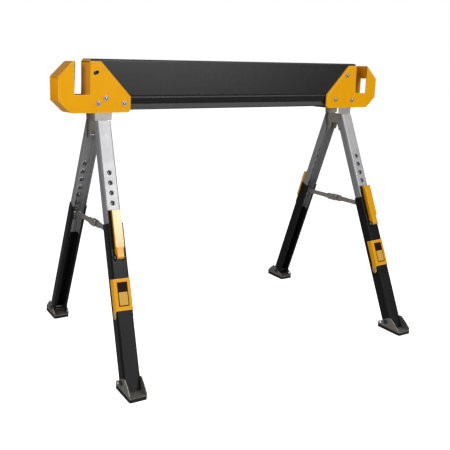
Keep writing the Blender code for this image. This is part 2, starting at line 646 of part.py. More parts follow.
def make_foot(shop, name, foot_frame):
    tilt = turned(foot_frame["tilt"], "Y")
    inner = lower_half_width() + STEP_GAP
    base_low, base_high = PAD_HEIGHT + FIT, PAD_HEIGHT + FIT + PLATE
    plan = box_outline((1 - PAD_HALF_WIDTH, 2 - PAD_LENGTH / 2),
                       (PAD_HALF_WIDTH - 1, PAD_LENGTH / 2 - 2))
    foot = shop.solid(f"{name}_foot", [(plan, "Z", base_low, base_high)], "dark_steel", foot_frame)
    cheeks = [(list(FOOT_CHEEK), "X", inner, inner + SHEET),
              (list(FOOT_CHEEK), "X", -inner - SHEET, -inner)]
    shop.change(foot, "UNION", cheeks, foot_frame, tilt)
    under = box_outline((-60, -90), (60, 90))
    shop.change(foot, "DIFFERENCE", [(under, "Z", -20, base_low)], foot_frame, Matrix())
    y, z, radius = FOOT_HOLE
    holes = [(circle((y, z), radius), "X", -inner - 6, inner + 6),
             (circle((FOOT_BOLT_Y, FOOT_BOLT_Z), FOOT_BOLT_RADIUS + FIT), "X", -inner - 6, inner + 6)]
    shop.change(foot, "DIFFERENCE", holes, foot_frame, tilt)

    corner = 5.0
    low, high = (-PAD_HALF_WIDTH, -PAD_LENGTH / 2), (PAD_HALF_WIDTH, PAD_LENGTH / 2)
    pad_plan = []
    for x, y, start in ((high[0], high[1], 0), (low[0], high[1], 90), (low[0], low[1], 180),
                        (high[0], low[1], 270)):
        centre = (x - math.copysign(corner, x), y - math.copysign(corner, y))
        pad_plan += arc(centre, corner, start, start + 90, 4)
    shop.solid(f"{name}_foot_pad", [(pad_plan, "Z", 0, PAD_HEIGHT)], "rubber", foot_frame)

    out = inner + SHEET + FIT
    shank, heads = headed_pin("X", (FOOT_BOLT_Y, FOOT_BOLT_Z), FOOT_BOLT_RADIUS, out,
                              FOOT_BOLT_RADIUS + 3, 3.0)
    bolt = shop.solid(f"{name}_foot_bolt", shank, "zinc", foot_frame, tilt)
    shop.change(bolt, "UNION", heads)


def make_leg(shop, name, set_frame, side, face):
    """One leg with all that rides on it; face is -1 at the front and 1 at the back."""
    facing = turned(0 if face > 0 else math.pi, "Z")
    hinge = facing @ shifted(0, HINGE_Y, -HINGE_DROP)
    leg_frame = make_empty(f"{name}_frame", hinge @ turned(SPREAD, "X"), set_frame)
    foot_x = side * (FOLD_X + FOLD_Z * math.tan(SPLAY))
    foot_frame = make_empty(f"{name}_foot_frame", shifted(foot_x, face * foot_y(), 0) @ facing)
    foot_frame["tilt"] = -side * face * SPLAY
    brace_y = HINGE_Y + BRACE_AT * math.sin(SPREAD)
    brace_drop = HINGE_DROP + BRACE_AT * math.cos(SPREAD)
    brace_frame = make_empty(f"{name}_brace_frame", facing @ shifted(0, brace_y, -brace_drop),
                             set_frame)
    make_upper_leg(shop, name, leg_frame)
    make_lower_leg(shop, name, leg_frame, foot_frame, face < 0)
    make_lever(shop, name, leg_frame)
    if face < 0:
        make_step(shop, name, leg_frame)
    make_brace(shop, name, brace_frame, brace_y)
    make_foot(shop, name, foot_frame)


def main():
    clear_scene()
    shop = Shop(make_materials())
    sides = {"left": -1, "right": 1}
    bolts = {word: bolt_places(word, side) for word, side in sides.items()}
    make_beam(shop, bolts)
    for word, side in sides.items():
        make_bracket(shop, f"{word}_bracket", side, bolts[word])
        make_bolts(shop, f"{word}_bracket", bolts[word])
        make_yoke(shop, f"{word}_yoke", side, bolts[word])
        set_frame = make_empty(f"{word}_set_frame", shifted(side * FOLD_X, 0, FOLD_Z)
                               @ turned(-side * SPLAY, "Y"))
        make_swivel(shop, f"{word}_swivel", set_frame)
        for place, face in (("front", -1), ("back", 1)):
            make_leg(shop, f"{word}_{place}", set_frame, side, face)


main()
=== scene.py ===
"""Studio view of a folding steel sawhorse with four adjustable legs.

Built in metres in the frame of the CAD part: +Z up, the beam along X, and -Y the front.
Lengths are written in millimetres and multiplied by MM where a mesh is made.
"""

import math

import bmesh
import bpy
from mathutils import Matrix, Vector


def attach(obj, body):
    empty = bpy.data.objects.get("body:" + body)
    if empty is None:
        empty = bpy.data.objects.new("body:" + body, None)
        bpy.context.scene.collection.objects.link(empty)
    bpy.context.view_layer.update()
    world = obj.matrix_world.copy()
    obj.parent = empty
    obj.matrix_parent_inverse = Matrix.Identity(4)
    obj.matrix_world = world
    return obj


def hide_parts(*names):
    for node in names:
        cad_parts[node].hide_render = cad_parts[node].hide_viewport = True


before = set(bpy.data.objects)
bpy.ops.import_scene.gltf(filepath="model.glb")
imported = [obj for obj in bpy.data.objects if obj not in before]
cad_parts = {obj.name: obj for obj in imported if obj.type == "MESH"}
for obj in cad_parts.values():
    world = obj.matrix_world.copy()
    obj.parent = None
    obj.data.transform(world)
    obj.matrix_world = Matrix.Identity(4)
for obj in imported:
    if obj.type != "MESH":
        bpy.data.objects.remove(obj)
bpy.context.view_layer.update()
MM = 0.001

# Camera
# It stands in front of the left end, a little higher than the beam's middle. The photographed
# object is left of the picture's middle, so the lens is shifted and not turned.
PICTURE_SIDE = 450.0
FOCAL_LENGTH = 626.4
AXIS_IN_PICTURE = (146.28, 179.95)
EYE = Vector((-1023.2, -1486.0, 764.0)) * MM
YAW, PITCH, ROLL = math.radians(27.029), math.radians(10.541), math.radians(0.989)

ahead = Vector((math.sin(YAW) * math.cos(PITCH), math.cos(YAW) * math.cos(PITCH),
                -math.sin(PITCH)))
level = Vector((math.cos(YAW), -math.sin(YAW), 0.0))
upright = level.cross(ahead)
rightward = level * math.cos(ROLL) + upright * math.sin(ROLL)
upward = upright * math.cos(ROLL) - level * math.sin(ROLL)
lens = bpy.data.cameras.new("camera")
lens.sensor_width = 36.0
lens.lens = FOCAL_LENGTH / PICTURE_SIDE * lens.sensor_width
lens.shift_x = (PICTURE_SIDE / 2 - AXIS_IN_PICTURE[0]) / PICTURE_SIDE
lens.shift_y = (AXIS_IN_PICTURE[1] - PICTURE_SIDE / 2) / PICTURE_SIDE
lens.clip_end = 200.0


def placed(name, data):
    """A new object in the scene, at the origin."""
    thing = bpy.data.objects.new(name, data)
    scene.collection.objects.link(thing)
    return thing


scene = bpy.context.scene
camera = placed("camera", lens)
turn = Matrix((rightward, upward, -ahead)).transposed()
camera.matrix_world = Matrix.Translation(EYE) @ turn.to_4x4()
scene.camera = camera
scene.view_settings.view_transform = "Standard"


# Floor, studio and light
# A plain white floor runs on into a white room. A bright panel at the front right is what the
# plated metal mirrors. One small softbox stands high at the front right, a wide one fills in
# from the front left, and one hangs overhead.
FLOOR_REACH = 15000.0
FLOOR_COLOUR = (0.80, 0.80, 0.80, 1.0)
MIRRORED_FLOOR_COLOUR = (0.44, 0.44, 0.44, 1.0)
FLOOR_GLOW = 1.0
MIRRORED_FLOOR_GLOW = 0.05
WHITE = (1.0, 1.0, 1.0, 1.0)
ROOM_LIGHT = 0.15
ROOM_MIRRORED_BEHIND = 0.27
ROOM_MIRRORED_IN_FRONT = 0.05
FRONT_WAY = (0.30, -0.954, 0.0)
FRONT_FROM, FRONT_TO = 0.05, 0.65
PANEL_WAY = (0.475, -0.872, 0.11)
PANEL_FROM, PANEL_TO = 0.965, 0.992
PANEL_LEVEL = 3.6


def put(tree, kind, sockets=None, **traits):
    """Adds a node of the tree's own family, with its traits and its sockets' values or links."""
    family = "" if "Node" in kind else tree.bl_idname.removesuffix("Tree")
    made = tree.nodes.new(family + kind)
    for trait, value in traits.items():
        setattr(made, trait, value)
    for name, value in (sockets or {}).items():
        if isinstance(value, bpy.types.NodeSocket):
            tree.links.new(value, made.inputs[name])
        else:
            made.inputs[name].default_value = value
    return made


def feed(*node, **traits):
    """A new node, and what its first output gives."""
    return put(*node, **traits).outputs[0]


def empty_tree(owner):
    owner.use_nodes = True
    owner.node_tree.nodes.clear()
    return owner.node_tree


def new_material(name):
    material = bpy.data.materials.new(name)
    return material, empty_tree(material)


def sum_of(tree, first, second, operation="ADD"):
    return feed(tree, "ShaderNodeMath", {0: first, 1: second}, operation=operation)


def times(tree, first, second):
    return sum_of(tree, first, second, "MULTIPLY")


def dot(tree, first, second):
    made = put(tree, "VectorMath", {0: first, 1: second}, operation="DOT_PRODUCT")
    return made.outputs["Value"]


def ranged(tree, value, start, end, low=0.0, high=1.0, course="LINEAR"):
    """Carries a value over from one range to another."""
    return feed(tree, "MapRange", {
        "Value": value, "From Min": start, "From Max": end, "To Min": low, "To Max": high},
        interpolation_type=course)


def mixed(tree, share, first, second):
    """A colour between two, by a share."""
    made = put(tree, "Mix", {0: share, 6: first, 7: second}, data_type="RGBA")
    return made.outputs[2]


def seen_level(tree, direct, mirrored):
    """One level for rays from the camera or through glass, and another for mirrored rays."""
    path = put(tree, "LightPath").outputs
    glossy = path["Is Glossy Ray"]
    clear = sum_of(tree, path["Is Camera Ray"], path["Is Transmission Ray"], "MAXIMUM")
    level = sum_of(tree, times(tree, clear, direct), times(tree, glossy, mirrored), "MAXIMUM")
    return level, sum_of(tree, clear, glossy, "MAXIMUM"), glossy


reach = FLOOR_REACH * MM
floor_mesh = bpy.data.meshes.new("floor")
floor_mesh.from_pydata([(-reach, -reach, 0), (reach, -reach, 0), (reach, reach, 0),
                        (-reach, reach, 0)], [], [(0, 1, 2, 3)])
floor = placed("floor", floor_mesh)
floor_white, tree = new_material("floor_white")
level, _, glossy = seen_level(tree, FLOOR_GLOW, MIRRORED_FLOOR_GLOW)
glow = feed(tree, "Emission", {"Strength": level})
matt = feed(tree, "BsdfDiffuse", {
    "Color": mixed(tree, glossy, FLOOR_COLOUR, MIRRORED_FLOOR_COLOUR)})
both = feed(tree, "AddShader", {0: glow, 1: matt})
put(tree, "OutputMaterial", {"Surface": both})
floor_mesh.materials.append(floor_white)

studio = bpy.data.worlds.new("studio")
scene.world = studio
studio.cycles.sampling_method = "NONE"
tree = empty_tree(studio)
way = put(tree, "TexCoord").outputs["Generated"]
room = ranged(tree, dot(tree, way, FRONT_WAY), FRONT_FROM, FRONT_TO,
              ROOM_MIRRORED_BEHIND, ROOM_MIRRORED_IN_FRONT, "SMOOTHSTEP")
panel = ranged(tree, dot(tree, way, PANEL_WAY), PANEL_FROM, PANEL_TO,
               0.0, PANEL_LEVEL, "SMOOTHSTEP")
level, seen, _ = seen_level(tree, 1.0, sum_of(tree, room, panel))
white = feed(tree, "Background", {"Color": WHITE, "Strength": level})
soft = feed(tree, "Background", {"Color": WHITE, "Strength": ROOM_LIGHT})
either = feed(tree, "MixShader", {0: seen, 1: soft, 2: white})
put(tree, "OutputWorld", {"Surface": either})


def softbox(name, place, target, width, height, power, mirrored=True):
    data = bpy.data.lights.new(name, "AREA")
    data.shape = "RECTANGLE"
    data.size, data.size_y, data.energy = width * MM, height * MM, power
    lamp = placed(name, data)
    lamp.location = Vector(place) * MM
    aim = Vector(target) * MM - lamp.location
    lamp.rotation_mode = "QUATERNION"
    lamp.rotation_quaternion = aim.to_track_quat("-Z", "Y")
    lamp.visible_camera = False
    lamp.visible_glossy = mirrored


softbox("key_softbox", (633, -2264, 1490), (-420, -200, 400), 950, 480, 17)
softbox("fill_softbox", (-2500, -1900, 1250), (-200, 0, 550), 1100, 900, 48, mirrored=False)
softbox("top_softbox", (1100, -1250, 2250), (0, 0, 550), 2000, 1200, 19)


# Beam
# The long inverted channel that carries the work: one steel sheet folded at the two top edges,
# with a flute pressed low into each side to stiffen it, and coated in satin black powder.
TOP_Z = 773.5
BEAM_HALF_WIDTH = 26.0
BEAM_BOTTOM = 646.0
BEAM_REACH = 438.7
SHEET = 2.0
BEAM_SIDE_LINE = (
    (26.0, BEAM_BOTTOM, 0), (26.0, 648.5, 1.5), (20.0, 660.0, 1.8), (26.0, 676.5, 1.4),
    (24.5, 679.5, 0.8), (26.0, 683.0, 1.6), (26.0, TOP_Z, 5.0))
FOLD_STEPS = 5
HOLE_SIDES = 40
SAME_SPOT = 1e-6
SHARP_ANGLE = math.radians(35)


def open_tree(kind, name, takes, gives):
    """A node tree with named inputs and outputs, and its two end nodes' sockets."""
    group = bpy.data.node_groups.new(name, kind)
    for label, socket in takes.items():
        group.interface.new_socket(label, in_out="INPUT", socket_type=socket)
    for label, socket in gives.items():
        group.interface.new_socket(label, in_out="OUTPUT", socket_type=socket)
    start, end = group.nodes.new("NodeGroupInput"), group.nodes.new("NodeGroupOutput")
    return group, start.outputs, end.inputs


GEOMETRY, NUMBER, COUNT = "NodeSocketGeometry", "NodeSocketFloat", "NodeSocketInt"
VECTOR, MATERIAL = "NodeSocketVector", "NodeSocketMaterial"


def growing_tree(name, takes):
    """A node tree that grows a piece on a start mesh, from named sizes and a material."""
    return open_tree("GeometryNodeTree", name, {"Start": GEOMETRY, **takes, "Material": MATERIAL},
                     {"Piece": GEOMETRY})


def joined(tree, *parts):
    made = put(tree, "JoinGeometry")
    for part in parts:
        tree.links.new(part, made.inputs[0])
    return made.outputs[0]


def hand_over(tree, geometry, given, result):
    """Ends a growing tree: what it made becomes real geometry and gets its material."""
    real = feed(tree, "RealizeInstances", {"Geometry": geometry})
    made = feed(tree, "SetMaterial", {"Geometry": real, "Material": given["Material"]})
    tree.links.new(made, result["Piece"])


# A folded sheet: the bent line of its outer side is rounded at each fold, drawn out along the
# piece, and thickened inward.
folding, given, result = growing_tree("Folded sheet", {
    "Run": VECTOR, "Sheet": NUMBER, "Steps in a fold": COUNT})
line = feed(folding, "MeshToCurve", {"Mesh": given["Start"]})
bend = feed(folding, "InputNamedAttribute", {"Name": "bend"}, data_type="FLOAT")
rounded = feed(folding, "FilletCurve", {
    "Curve": line, "Count": given["Steps in a fold"], "Radius": bend},
    mode="POLY")
edge = feed(folding, "CurveToMesh", {"Curve": rounded})
skin = feed(folding, "ExtrudeMesh", {
    "Mesh": edge, "Offset": given["Run"], "Offset Scale": 1.0}, mode="EDGES")
thick = feed(folding, "ExtrudeMesh", {
    "Mesh": skin, "Offset Scale": given["Sheet"], "Individual": False}, mode="FACES")
under = feed(folding, "FlipFaces", {"Mesh": skin})
merged = feed(folding, "MergeByDistance", {
    "Geometry": joined(folding, thick, under), "Distance": SAME_SPOT})
hand_over(folding, merged, given, result)


def settle(thing):
    """Turns a piece and its modifiers into one plain mesh."""
    graph = bpy.context.evaluated_depsgraph_get()
    plain = bpy.data.meshes.new_from_object(thing.evaluated_get(graph),
                                            preserve_all_data_layers=True, depsgraph=graph)
    thing.modifiers.clear()
    thing.data = plain
    return thing


def grow(thing, group, sizes):
    """Runs a node tree on a piece, with its inputs set by name, and keeps the plain result."""
    step = thing.modifiers.new("growth", "NODES")
    step.node_group = group
    for item in group.interface.items_tree:
        if item.item_type == "SOCKET" and item.in_out == "INPUT" and item.name in sizes:
            step[item.identifier] = sizes[item.name]
    return settle(thing)


def face_outward(thing):
    """Merges doubled corners, makes flat faces whole and turns all faces outward."""
    build = bmesh.new()
    build.from_mesh(thing.data)
    bmesh.ops.remove_doubles(build, verts=build.verts, dist=SAME_SPOT)
    bmesh.ops.dissolve_limit(build, angle_limit=math.radians(0.5), verts=build.verts,
                             edges=build.edges)
    bmesh.ops.recalc_face_normals(build, faces=build.faces)
    build.to_mesh(thing.data)
    build.free()
    return thing


def folded(name, fold_line, run, material, sheet=SHEET):
    """A folded sheet from its outer line: points in 3-D, each with its bend radius."""
    mesh = bpy.data.meshes.new(name)
    mesh.from_pydata([Vector(p[:3]) * MM for p in fold_line],
                     [(i, i + 1) for i in range(len(fold_line) - 1)], [])
    radii = mesh.attributes.new("bend", "FLOAT", "POINT")
    radii.data.foreach_set("value", [p[3] * MM for p in fold_line])
    thing = grow(placed(name, mesh), folding, {
        "Run": tuple(Vector(run) * MM), "Sheet": sheet * MM, "Steps in a fold": FOLD_STEPS,
        "Material": material})
    return face_outward(thing)


def across(axis, a, b, height):
    """A point of an outline that lies across an axis, in millimetres."""
    return Vector({"X": (height, a, b), "Y": (a, height, b), "Z": (a, b, height)}[axis])


def blocks(name, prisms):
    """A mesh of outlines across an axis, each drawn out along it between two heights."""
    build = bmesh.new()
    for outline, axis, low, high in prisms:
        near, far = [[build.verts.new(across(axis, a, b, height) * MM) for a, b in outline]
                     for height in (low, high)]
        made = [build.faces.new(near[::-1]), build.faces.new(far)]
        for i in range(len(outline)):
            j = (i + 1) % len(outline)
            made.append(build.faces.new([near[i], near[j], far[j], far[i]]))
        bmesh.ops.recalc_face_normals(build, faces=made)
    mesh = bpy.data.meshes.new(name)
    build.to_mesh(mesh)
    build.free()
    return mesh


def arc(centre, radius, start, end, steps):
    angles = [math.radians(start + (end - start) * i / steps) for i in range(steps + 1)]
    return [(centre[0] + radius * math.cos(a), centre[1] + radius * math.sin(a)) for a in angles]


def circle(centre, radius, sides=HOLE_SIDES):
    return arc(centre, radius, 3, 363, sides)[:-1]


def oblong(low, high):
    return [low, (high[0], low[1]), high, (low[0], high[1])]


def work(thing, prisms, operation="DIFFERENCE", matrix=None, solver="EXACT"):
    """Cuts prisms out of a piece, or joins them to it."""
    for prism in prisms:
        tool = placed("tool", blocks("tool", [prism]))
        if matrix is not None:
            tool.data.transform(matrix)
        step = thing.modifiers.new("work", "BOOLEAN")
        step.operation, step.solver, step.object = operation, solver, tool
        settle(thing)
        bpy.data.objects.remove(tool)


def soften(thing, width, segments=2, clean=True):
    """Breaks the sharp edges of a piece, as deburring and paint do."""
    if clean:
        face_outward(thing)
    step = thing.modifiers.new("edges", "BEVEL")
    step.width, step.segments, step.limit_method = width * MM, segments, "ANGLE"
    step.angle_limit = SHARP_ANGLE
    step.miter_outer = "MITER_ARC"
    settle(thing)
    thing.data.shade_smooth()
    thing.data.set_sharp_from_angle(angle=math.radians(40))
    even = thing.modifiers.new("shading", "WEIGHTED_NORMAL")
    even.keep_sharp = True
    settle(thing)


def fit(thing, body, nodes, material, matrix=None):
    """Puts a finished piece in its place on a body, where it stands for CAD nodes."""
    mesh = thing.data
    marks = mesh.attributes.new("made", "FLOAT_VECTOR", "POINT")
    marks.data.foreach_set("vector", [x for vertex in mesh.vertices for x in vertex.co])
    if matrix is not None:
        mesh.transform(matrix)
    mesh.materials.clear()
    mesh.materials.append(material)
    mesh.polygons.foreach_set("material_index", [0] * len(mesh.polygons))
    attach(thing, body)
    if nodes:
        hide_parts(*nodes)


def noise(tree, place, scale, detail, roughness=0.5):
    return feed(tree, "TexNoise", {
        "Vector": place, "Scale": scale, "Detail": detail, "Roughness": roughness})


# Skin of powder coat: the fine orange peel in its surface, and faint clouds in its tone
peel_group, given, result = open_tree(
    "ShaderNodeTree", "Orange peel", {"Place": VECTOR, "Grains per metre": NUMBER},
    {"Height": NUMBER, "Cloud": NUMBER})
fine = noise(peel_group, given["Place"], given["Grains per metre"], 2.0, 0.45)
peel_group.links.new(fine, result["Height"])
peel_group.links.new(noise(peel_group, given["Place"], 14.0, 3.0), result["Cloud"])

# Edges that are paler, partly where paint or plating thins and partly as a painted highlight for
# light caught along them, found from how fast the surface turns
edge_group, given, result = open_tree(
    "ShaderNodeTree", "Thin edge and painted highlight", {"Place": VECTOR, "Reach": NUMBER}, {"Share": NUMBER})
turn = feed(edge_group, "Bevel", {"Radius": given["Reach"]}, samples=6)
own = put(edge_group, "NewGeometry")
same = dot(edge_group, turn, own.outputs["Normal"])
broken = ranged(edge_group, noise(edge_group, given["Place"], 160.0, 3.0), 0.35, 0.65)
edge_group.links.new(times(edge_group, ranged(edge_group, same, 0.995, 0.86), broken),
                     result["Share"])

# Dust that settles on what faces up
dust_group, given, result = open_tree(
    "ShaderNodeTree", "Settled dust", {"Place": VECTOR, "Amount": NUMBER}, {"Share": NUMBER})
own = put(dust_group, "NewGeometry")
up = put(dust_group, "SeparateXYZ", {"Vector": own.outputs["Normal"]})
patchy = noise(dust_group, given["Place"], 45.0, 5.0, 0.65)
lying = times(dust_group, ranged(dust_group, up.outputs["Z"], 0.1, 0.95), patchy)
dust_group.links.new(times(dust_group, lying, given["Amount"]), result["Share"])

EDGE_REACH = 0.0012
PALE_DUST = (0.62, 0.60, 0.56, 1.0)
SKIN_RELIEF = 0.0001


def thinned_lit_edges_and_dust(tree, place, dust, reach=EDGE_REACH):
    """How much the coat thins at an edge, with a painted highlight there, and how much dust lies
    there.
    """
    thin_and_lit_edge = feed(tree, "Group", {"Place": place, "Reach": reach}, node_tree=edge_group)
    dusty = feed(tree, "Group", {"Place": place, "Amount": dust}, node_tree=dust_group)
    return thin_and_lit_edge, dusty


def powder_coat(name, colour, cloud_colour, edge_colour, roughness, grains, dust, peel=0.35,
                gloss=0.5, edge=EDGE_REACH):
    """Baked powder paint: even colour with a fine peel, paler at edges where the coat thins and as
    a painted highlight along them.
    """
    material, tree = new_material(name)
    place = put(tree, "TexCoord").outputs["Object"]
    skin = put(tree, "Group", {"Place": place, "Grains per metre": grains},
               node_tree=peel_group).outputs
    thin_and_lit_edge, dusty = thinned_lit_edges_and_dust(tree, place, dust, edge)
    # Paler edges: a thinner coat and a painted highlight along them.
    base = mixed(tree, thin_and_lit_edge, mixed(tree, skin["Cloud"], colour, cloud_colour), edge_colour)
    bump = feed(tree, "Bump", {
        "Height": skin["Height"], "Strength": peel, "Distance": SKIN_RELIEF})
    paint = feed(tree, "BsdfPrincipled", {
        "Base Color": mixed(tree, dusty, base, PALE_DUST), "Normal": bump,
        "Roughness": ranged(tree, skin["Cloud"], 0.0, 1.0, roughness - 0.05, roughness + 0.07),
        "Specular IOR Level": gloss})
    put(tree, "OutputMaterial", {"Surface": paint})
    return material


beam_black = powder_coat("beam_black", (0.006, 0.006, 0.007, 1), (0.010, 0.010, 0.011, 1),
                         (0.10, 0.10, 0.105, 1), 0.27, 1100.0, 0.02, gloss=0.32)
front = [(-BEAM_REACH, -y, z, bend) for y, z, bend in BEAM_SIDE_LINE]
back = [(x, -y, z, bend) for x, y, z, bend in front[::-1]]
beam = folded("beam_channel", (front + back)[::-1], (2 * BEAM_REACH, 0, 0), beam_black)
BOLT_PLACES = {-1: ((21.4, 17.9), (42.0, 30.3), (92.3, 16.8)),
               1: ((13.5, 17.9), (79.9, 19.9), (39.4, 92.6))}
BOLT_RADIUS = 3.5
BOLT_HOLE_RADIUS = 3.9
SLOT_INNER_X = 441.0
THROUGH = 45.0


def bolt_centres(side):
    """The three bolts of one bracket, in x and z."""
    return [(side * (SLOT_INNER_X - inward), BEAM_BOTTOM + height)
            for inward, height in BOLT_PLACES[side]]


for side in (-1, 1):
    work(beam, [(circle(spot, BOLT_HOLE_RADIUS), "Y", -THROUGH, THROUGH)
                for spot in bolt_centres(side)], solver="MANIFOLD")
soften(beam, 0.35)
fit(beam, "frame", ["beam"], beam_black)


# End brackets
# Each is folded from one sheet: a front and a back plate, joined by flanges on the ear's two
# slanted edges and by the slot's inner wall. Amber powder coat; a board stands in the slot.
END_X = 523.5
BRACKET_TOP = 767.0
BRACKET_LOW = 640.0
BRACKET_HALF_DEPTH = 32.5
BRACKET_OUTLINE = [
    (334.5, BRACKET_LOW), (493.0, BRACKET_LOW), (END_X, 669.5), (END_X, 729.5),
    (485.9, BRACKET_TOP), (409.5, BRACKET_TOP), (328.0, 680.0), (328.0, 647.0)]
FLANGED_EDGES = (1, 3, 5, 6, 7)
EAR_EDGES = (1, 3)
OPEN_PAST = 10.0
SLOT_WIDTH = 41.5
SLOT_FLOOR_Z = 685.0
WALL_TIP_DROP = 2.2
WALL_SUNK = 4.0
EAR_TRIM = 0.4
LIP_HALF_DEPTH = 26.3
OUTER_BEND = 5.0
INNER_BEND_SHARE = 0.6
DRAIN_CENTRE = (425.0, 739.3)
DRAIN_SIZE = (16.0, 9.5)
DRAIN_TURN = math.radians(-20)

# The amber's cream edge colour, spread over 3.5 mm, paints a highlight along every fold.
amber = powder_coat("amber_powder", (0.80, 0.365, 0.002, 1), (0.74, 0.325, 0.001, 1),
                    (0.93, 0.62, 0.22, 1), 0.30, 850.0, 0.02, peel=0.30, gloss=0.14, edge=0.0035)


def moved_in(points, shifts):
    """Moves each edge of an anticlockwise outline inward by its own distance."""
    lines = []
    for (a, b), shift in zip(zip(points, points[1:] + points[:1]), shifts):
        along = (Vector(b) - Vector(a)).normalized()
        lines.append((Vector(a) + Vector((-along.y, along.x)) * shift, along))
    corners = []
    for (p, d), (q, e) in zip(lines[-1:] + lines[:-1], lines):
        cross = d.x * e.y - d.y * e.x
        t = ((q.x - p.x) * e.y - (q.y - p.y) * e.x) / cross
        corners.append(tuple(p + d * t))
    return corners


NEAR = 0.05


def near_line(spot, a, b):
    """Whether a point lies on the line through two others, in millimetres."""
    along = (Vector(b) - Vector(a)).normalized()
    apart = Vector(spot) - Vector(a)
    return abs(along.x * apart.y - along.y * apart.x) < NEAR


def mark_folds(thing):
    """Weights the edges where a plate of the bracket turns into a flange, for the bevel."""
    face_outward(thing)
    folds = []
    for inset, share in ((0.0, 1.0), (SHEET, INNER_BEND_SHARE)):
        rim = moved_in(BRACKET_OUTLINE, [inset] * len(BRACKET_OUTLINE))
        wall_x = SLOT_INNER_X - inset
        lines = [(rim[i], rim[(i + 1) % len(rim)]) for i in FLANGED_EDGES]
        for a, b in lines + [((wall_x, 0), (wall_x, 1))]:
            folds.append((a, b, BRACKET_HALF_DEPTH - inset, share))
    build = bmesh.new()
    build.from_mesh(thing.data)
    weight = build.edges.layers.float.new("bevel_weight_edge")
    for edge in build.edges:
        ends = [v.co / MM for v in edge.verts]
        for a, b, depth, share in folds:
            if all(abs(abs(p.y) - depth) < NEAR and near_line((p.x, p.z), a, b) for p in ends):
                edge[weight] = share
    build.to_mesh(thing.data)
    build.free()


def insets(edges):
    """How far each edge moves in: the flanged ones by the sheet, the open ones outward."""
    return [SHEET if i in edges else -OPEN_PAST for i in range(len(BRACKET_OUTLINE))]


bracket_home = {1: Matrix(), -1: Matrix.Rotation(math.pi, 4, "Z")}
half, inner_half = BRACKET_HALF_DEPTH, BRACKET_HALF_DEPTH - SHEET
for side, word in ((-1, "left"), (1, "right")):
    bracket = placed(f"{word}_bracket_folded",
                     blocks("bracket", [(BRACKET_OUTLINE, "Y", -half, half)]))
    hollow = moved_in(BRACKET_OUTLINE, insets(FLANGED_EDGES))
    mouth = moved_in(BRACKET_OUTLINE, insets(EAR_EDGES))
    work(bracket, [(hollow, "Y", -inner_half, inner_half),
                   (mouth, "Y", -LIP_HALF_DEPTH, LIP_HALF_DEPTH)])
    seat, shoulder, tip = SLOT_FLOOR_Z - WALL_SUNK, BRACKET_TOP - SHEET, TOP_Z - WALL_TIP_DROP
    broad, narrow = half - 1.0, BEAM_HALF_WIDTH
    wall = [(-broad, seat), (broad, seat), (broad, shoulder), (narrow, shoulder), (narrow, tip),
            (-narrow, tip), (-narrow, shoulder), (-broad, shoulder)]
    work(bracket, [(wall, "X", SLOT_INNER_X - SHEET, SLOT_INNER_X + WALL_SUNK)], "UNION")
    slot = oblong((SLOT_INNER_X, SLOT_FLOOR_Z), (SLOT_INNER_X + SLOT_WIDTH, BRACKET_TOP + THROUGH))
    flange_end = oblong((END_X - EAR_TRIM, BRACKET_LOW), (END_X + THROUGH, BRACKET_TOP))
    work(bracket, [(slot, "Y", -THROUGH, THROUGH), (flange_end, "Y", -inner_half, inner_half)])
    mark_folds(bracket)
    step = bracket.modifiers.new("folds", "BEVEL")
    step.width, step.segments, step.limit_method = OUTER_BEND * MM, FOLD_STEPS, "WEIGHT"
    step.use_clamp_overlap = False
    settle(bracket)
    work(bracket, [(circle((side * x, z), BOLT_HOLE_RADIUS), "Y", -THROUGH, THROUGH)
                   for x, z in bolt_centres(side)])
    if side < 0:
        reach, radius = (DRAIN_SIZE[0] - DRAIN_SIZE[1]) / 2, DRAIN_SIZE[1] / 2
        ends = arc((reach, 0), radius, -90, 90, 10) + arc((-reach, 0), radius, 90, 270, 10)
        turn = Matrix.Rotation(DRAIN_TURN, 2)
        drain = [tuple(turn @ Vector(point) + Vector(DRAIN_CENTRE)) for point in ends]
        work(bracket, [(drain, "Y", -THROUGH, THROUGH)])
    soften(bracket, 0.4)
    fit(bracket, "frame", [f"{word}_bracket"], amber, bracket_home[side])


# Bracket bolts
# Zinc-plated dome-headed bolts go through bracket, yoke and beam. Each has a flanged head in
# front and a hexagon nut with the end of its thread at the back.
HEAD_RADIUS = 6.7
HEAD_HEIGHT = 4.0
FLANGE_HEIGHT = 1.3
DOME_SHARE = 0.82
NUT_RADIUS = 6.5
NUT_HEIGHT = 5.5
WASHER_HEIGHT = 1.0
WASHER_SUNK = 0.3
THREAD_PAST_NUT = 2.0
PLAY = 0.3

bolting, given, result = growing_tree("Dome bolts", {
    "Seat": NUMBER, "Head radius": NUMBER, "Head height": NUMBER, "Flange height": NUMBER,
    "Nut radius": NUMBER, "Nut height": NUMBER, "Shank radius": NUMBER})


def stood_at(tree, geometry, height, scale=(1.0, 1.0, 1.0)):
    """Moves part of a bolt along its axis, and scales it."""
    place = feed(tree, "ShaderNodeCombineXYZ", {"Z": height})
    return feed(tree, "Transform", {"Geometry": geometry, "Translation": place, "Scale": scale})


def turned_part(tree, sides, radius, depth, height):
    """A cylinder on a bolt's axis, with its middle at a height; six sides make a nut."""
    bar = feed(tree, "MeshCylinder", {"Vertices": sides, "Radius": radius, "Depth": depth})
    return stood_at(tree, bar, height)


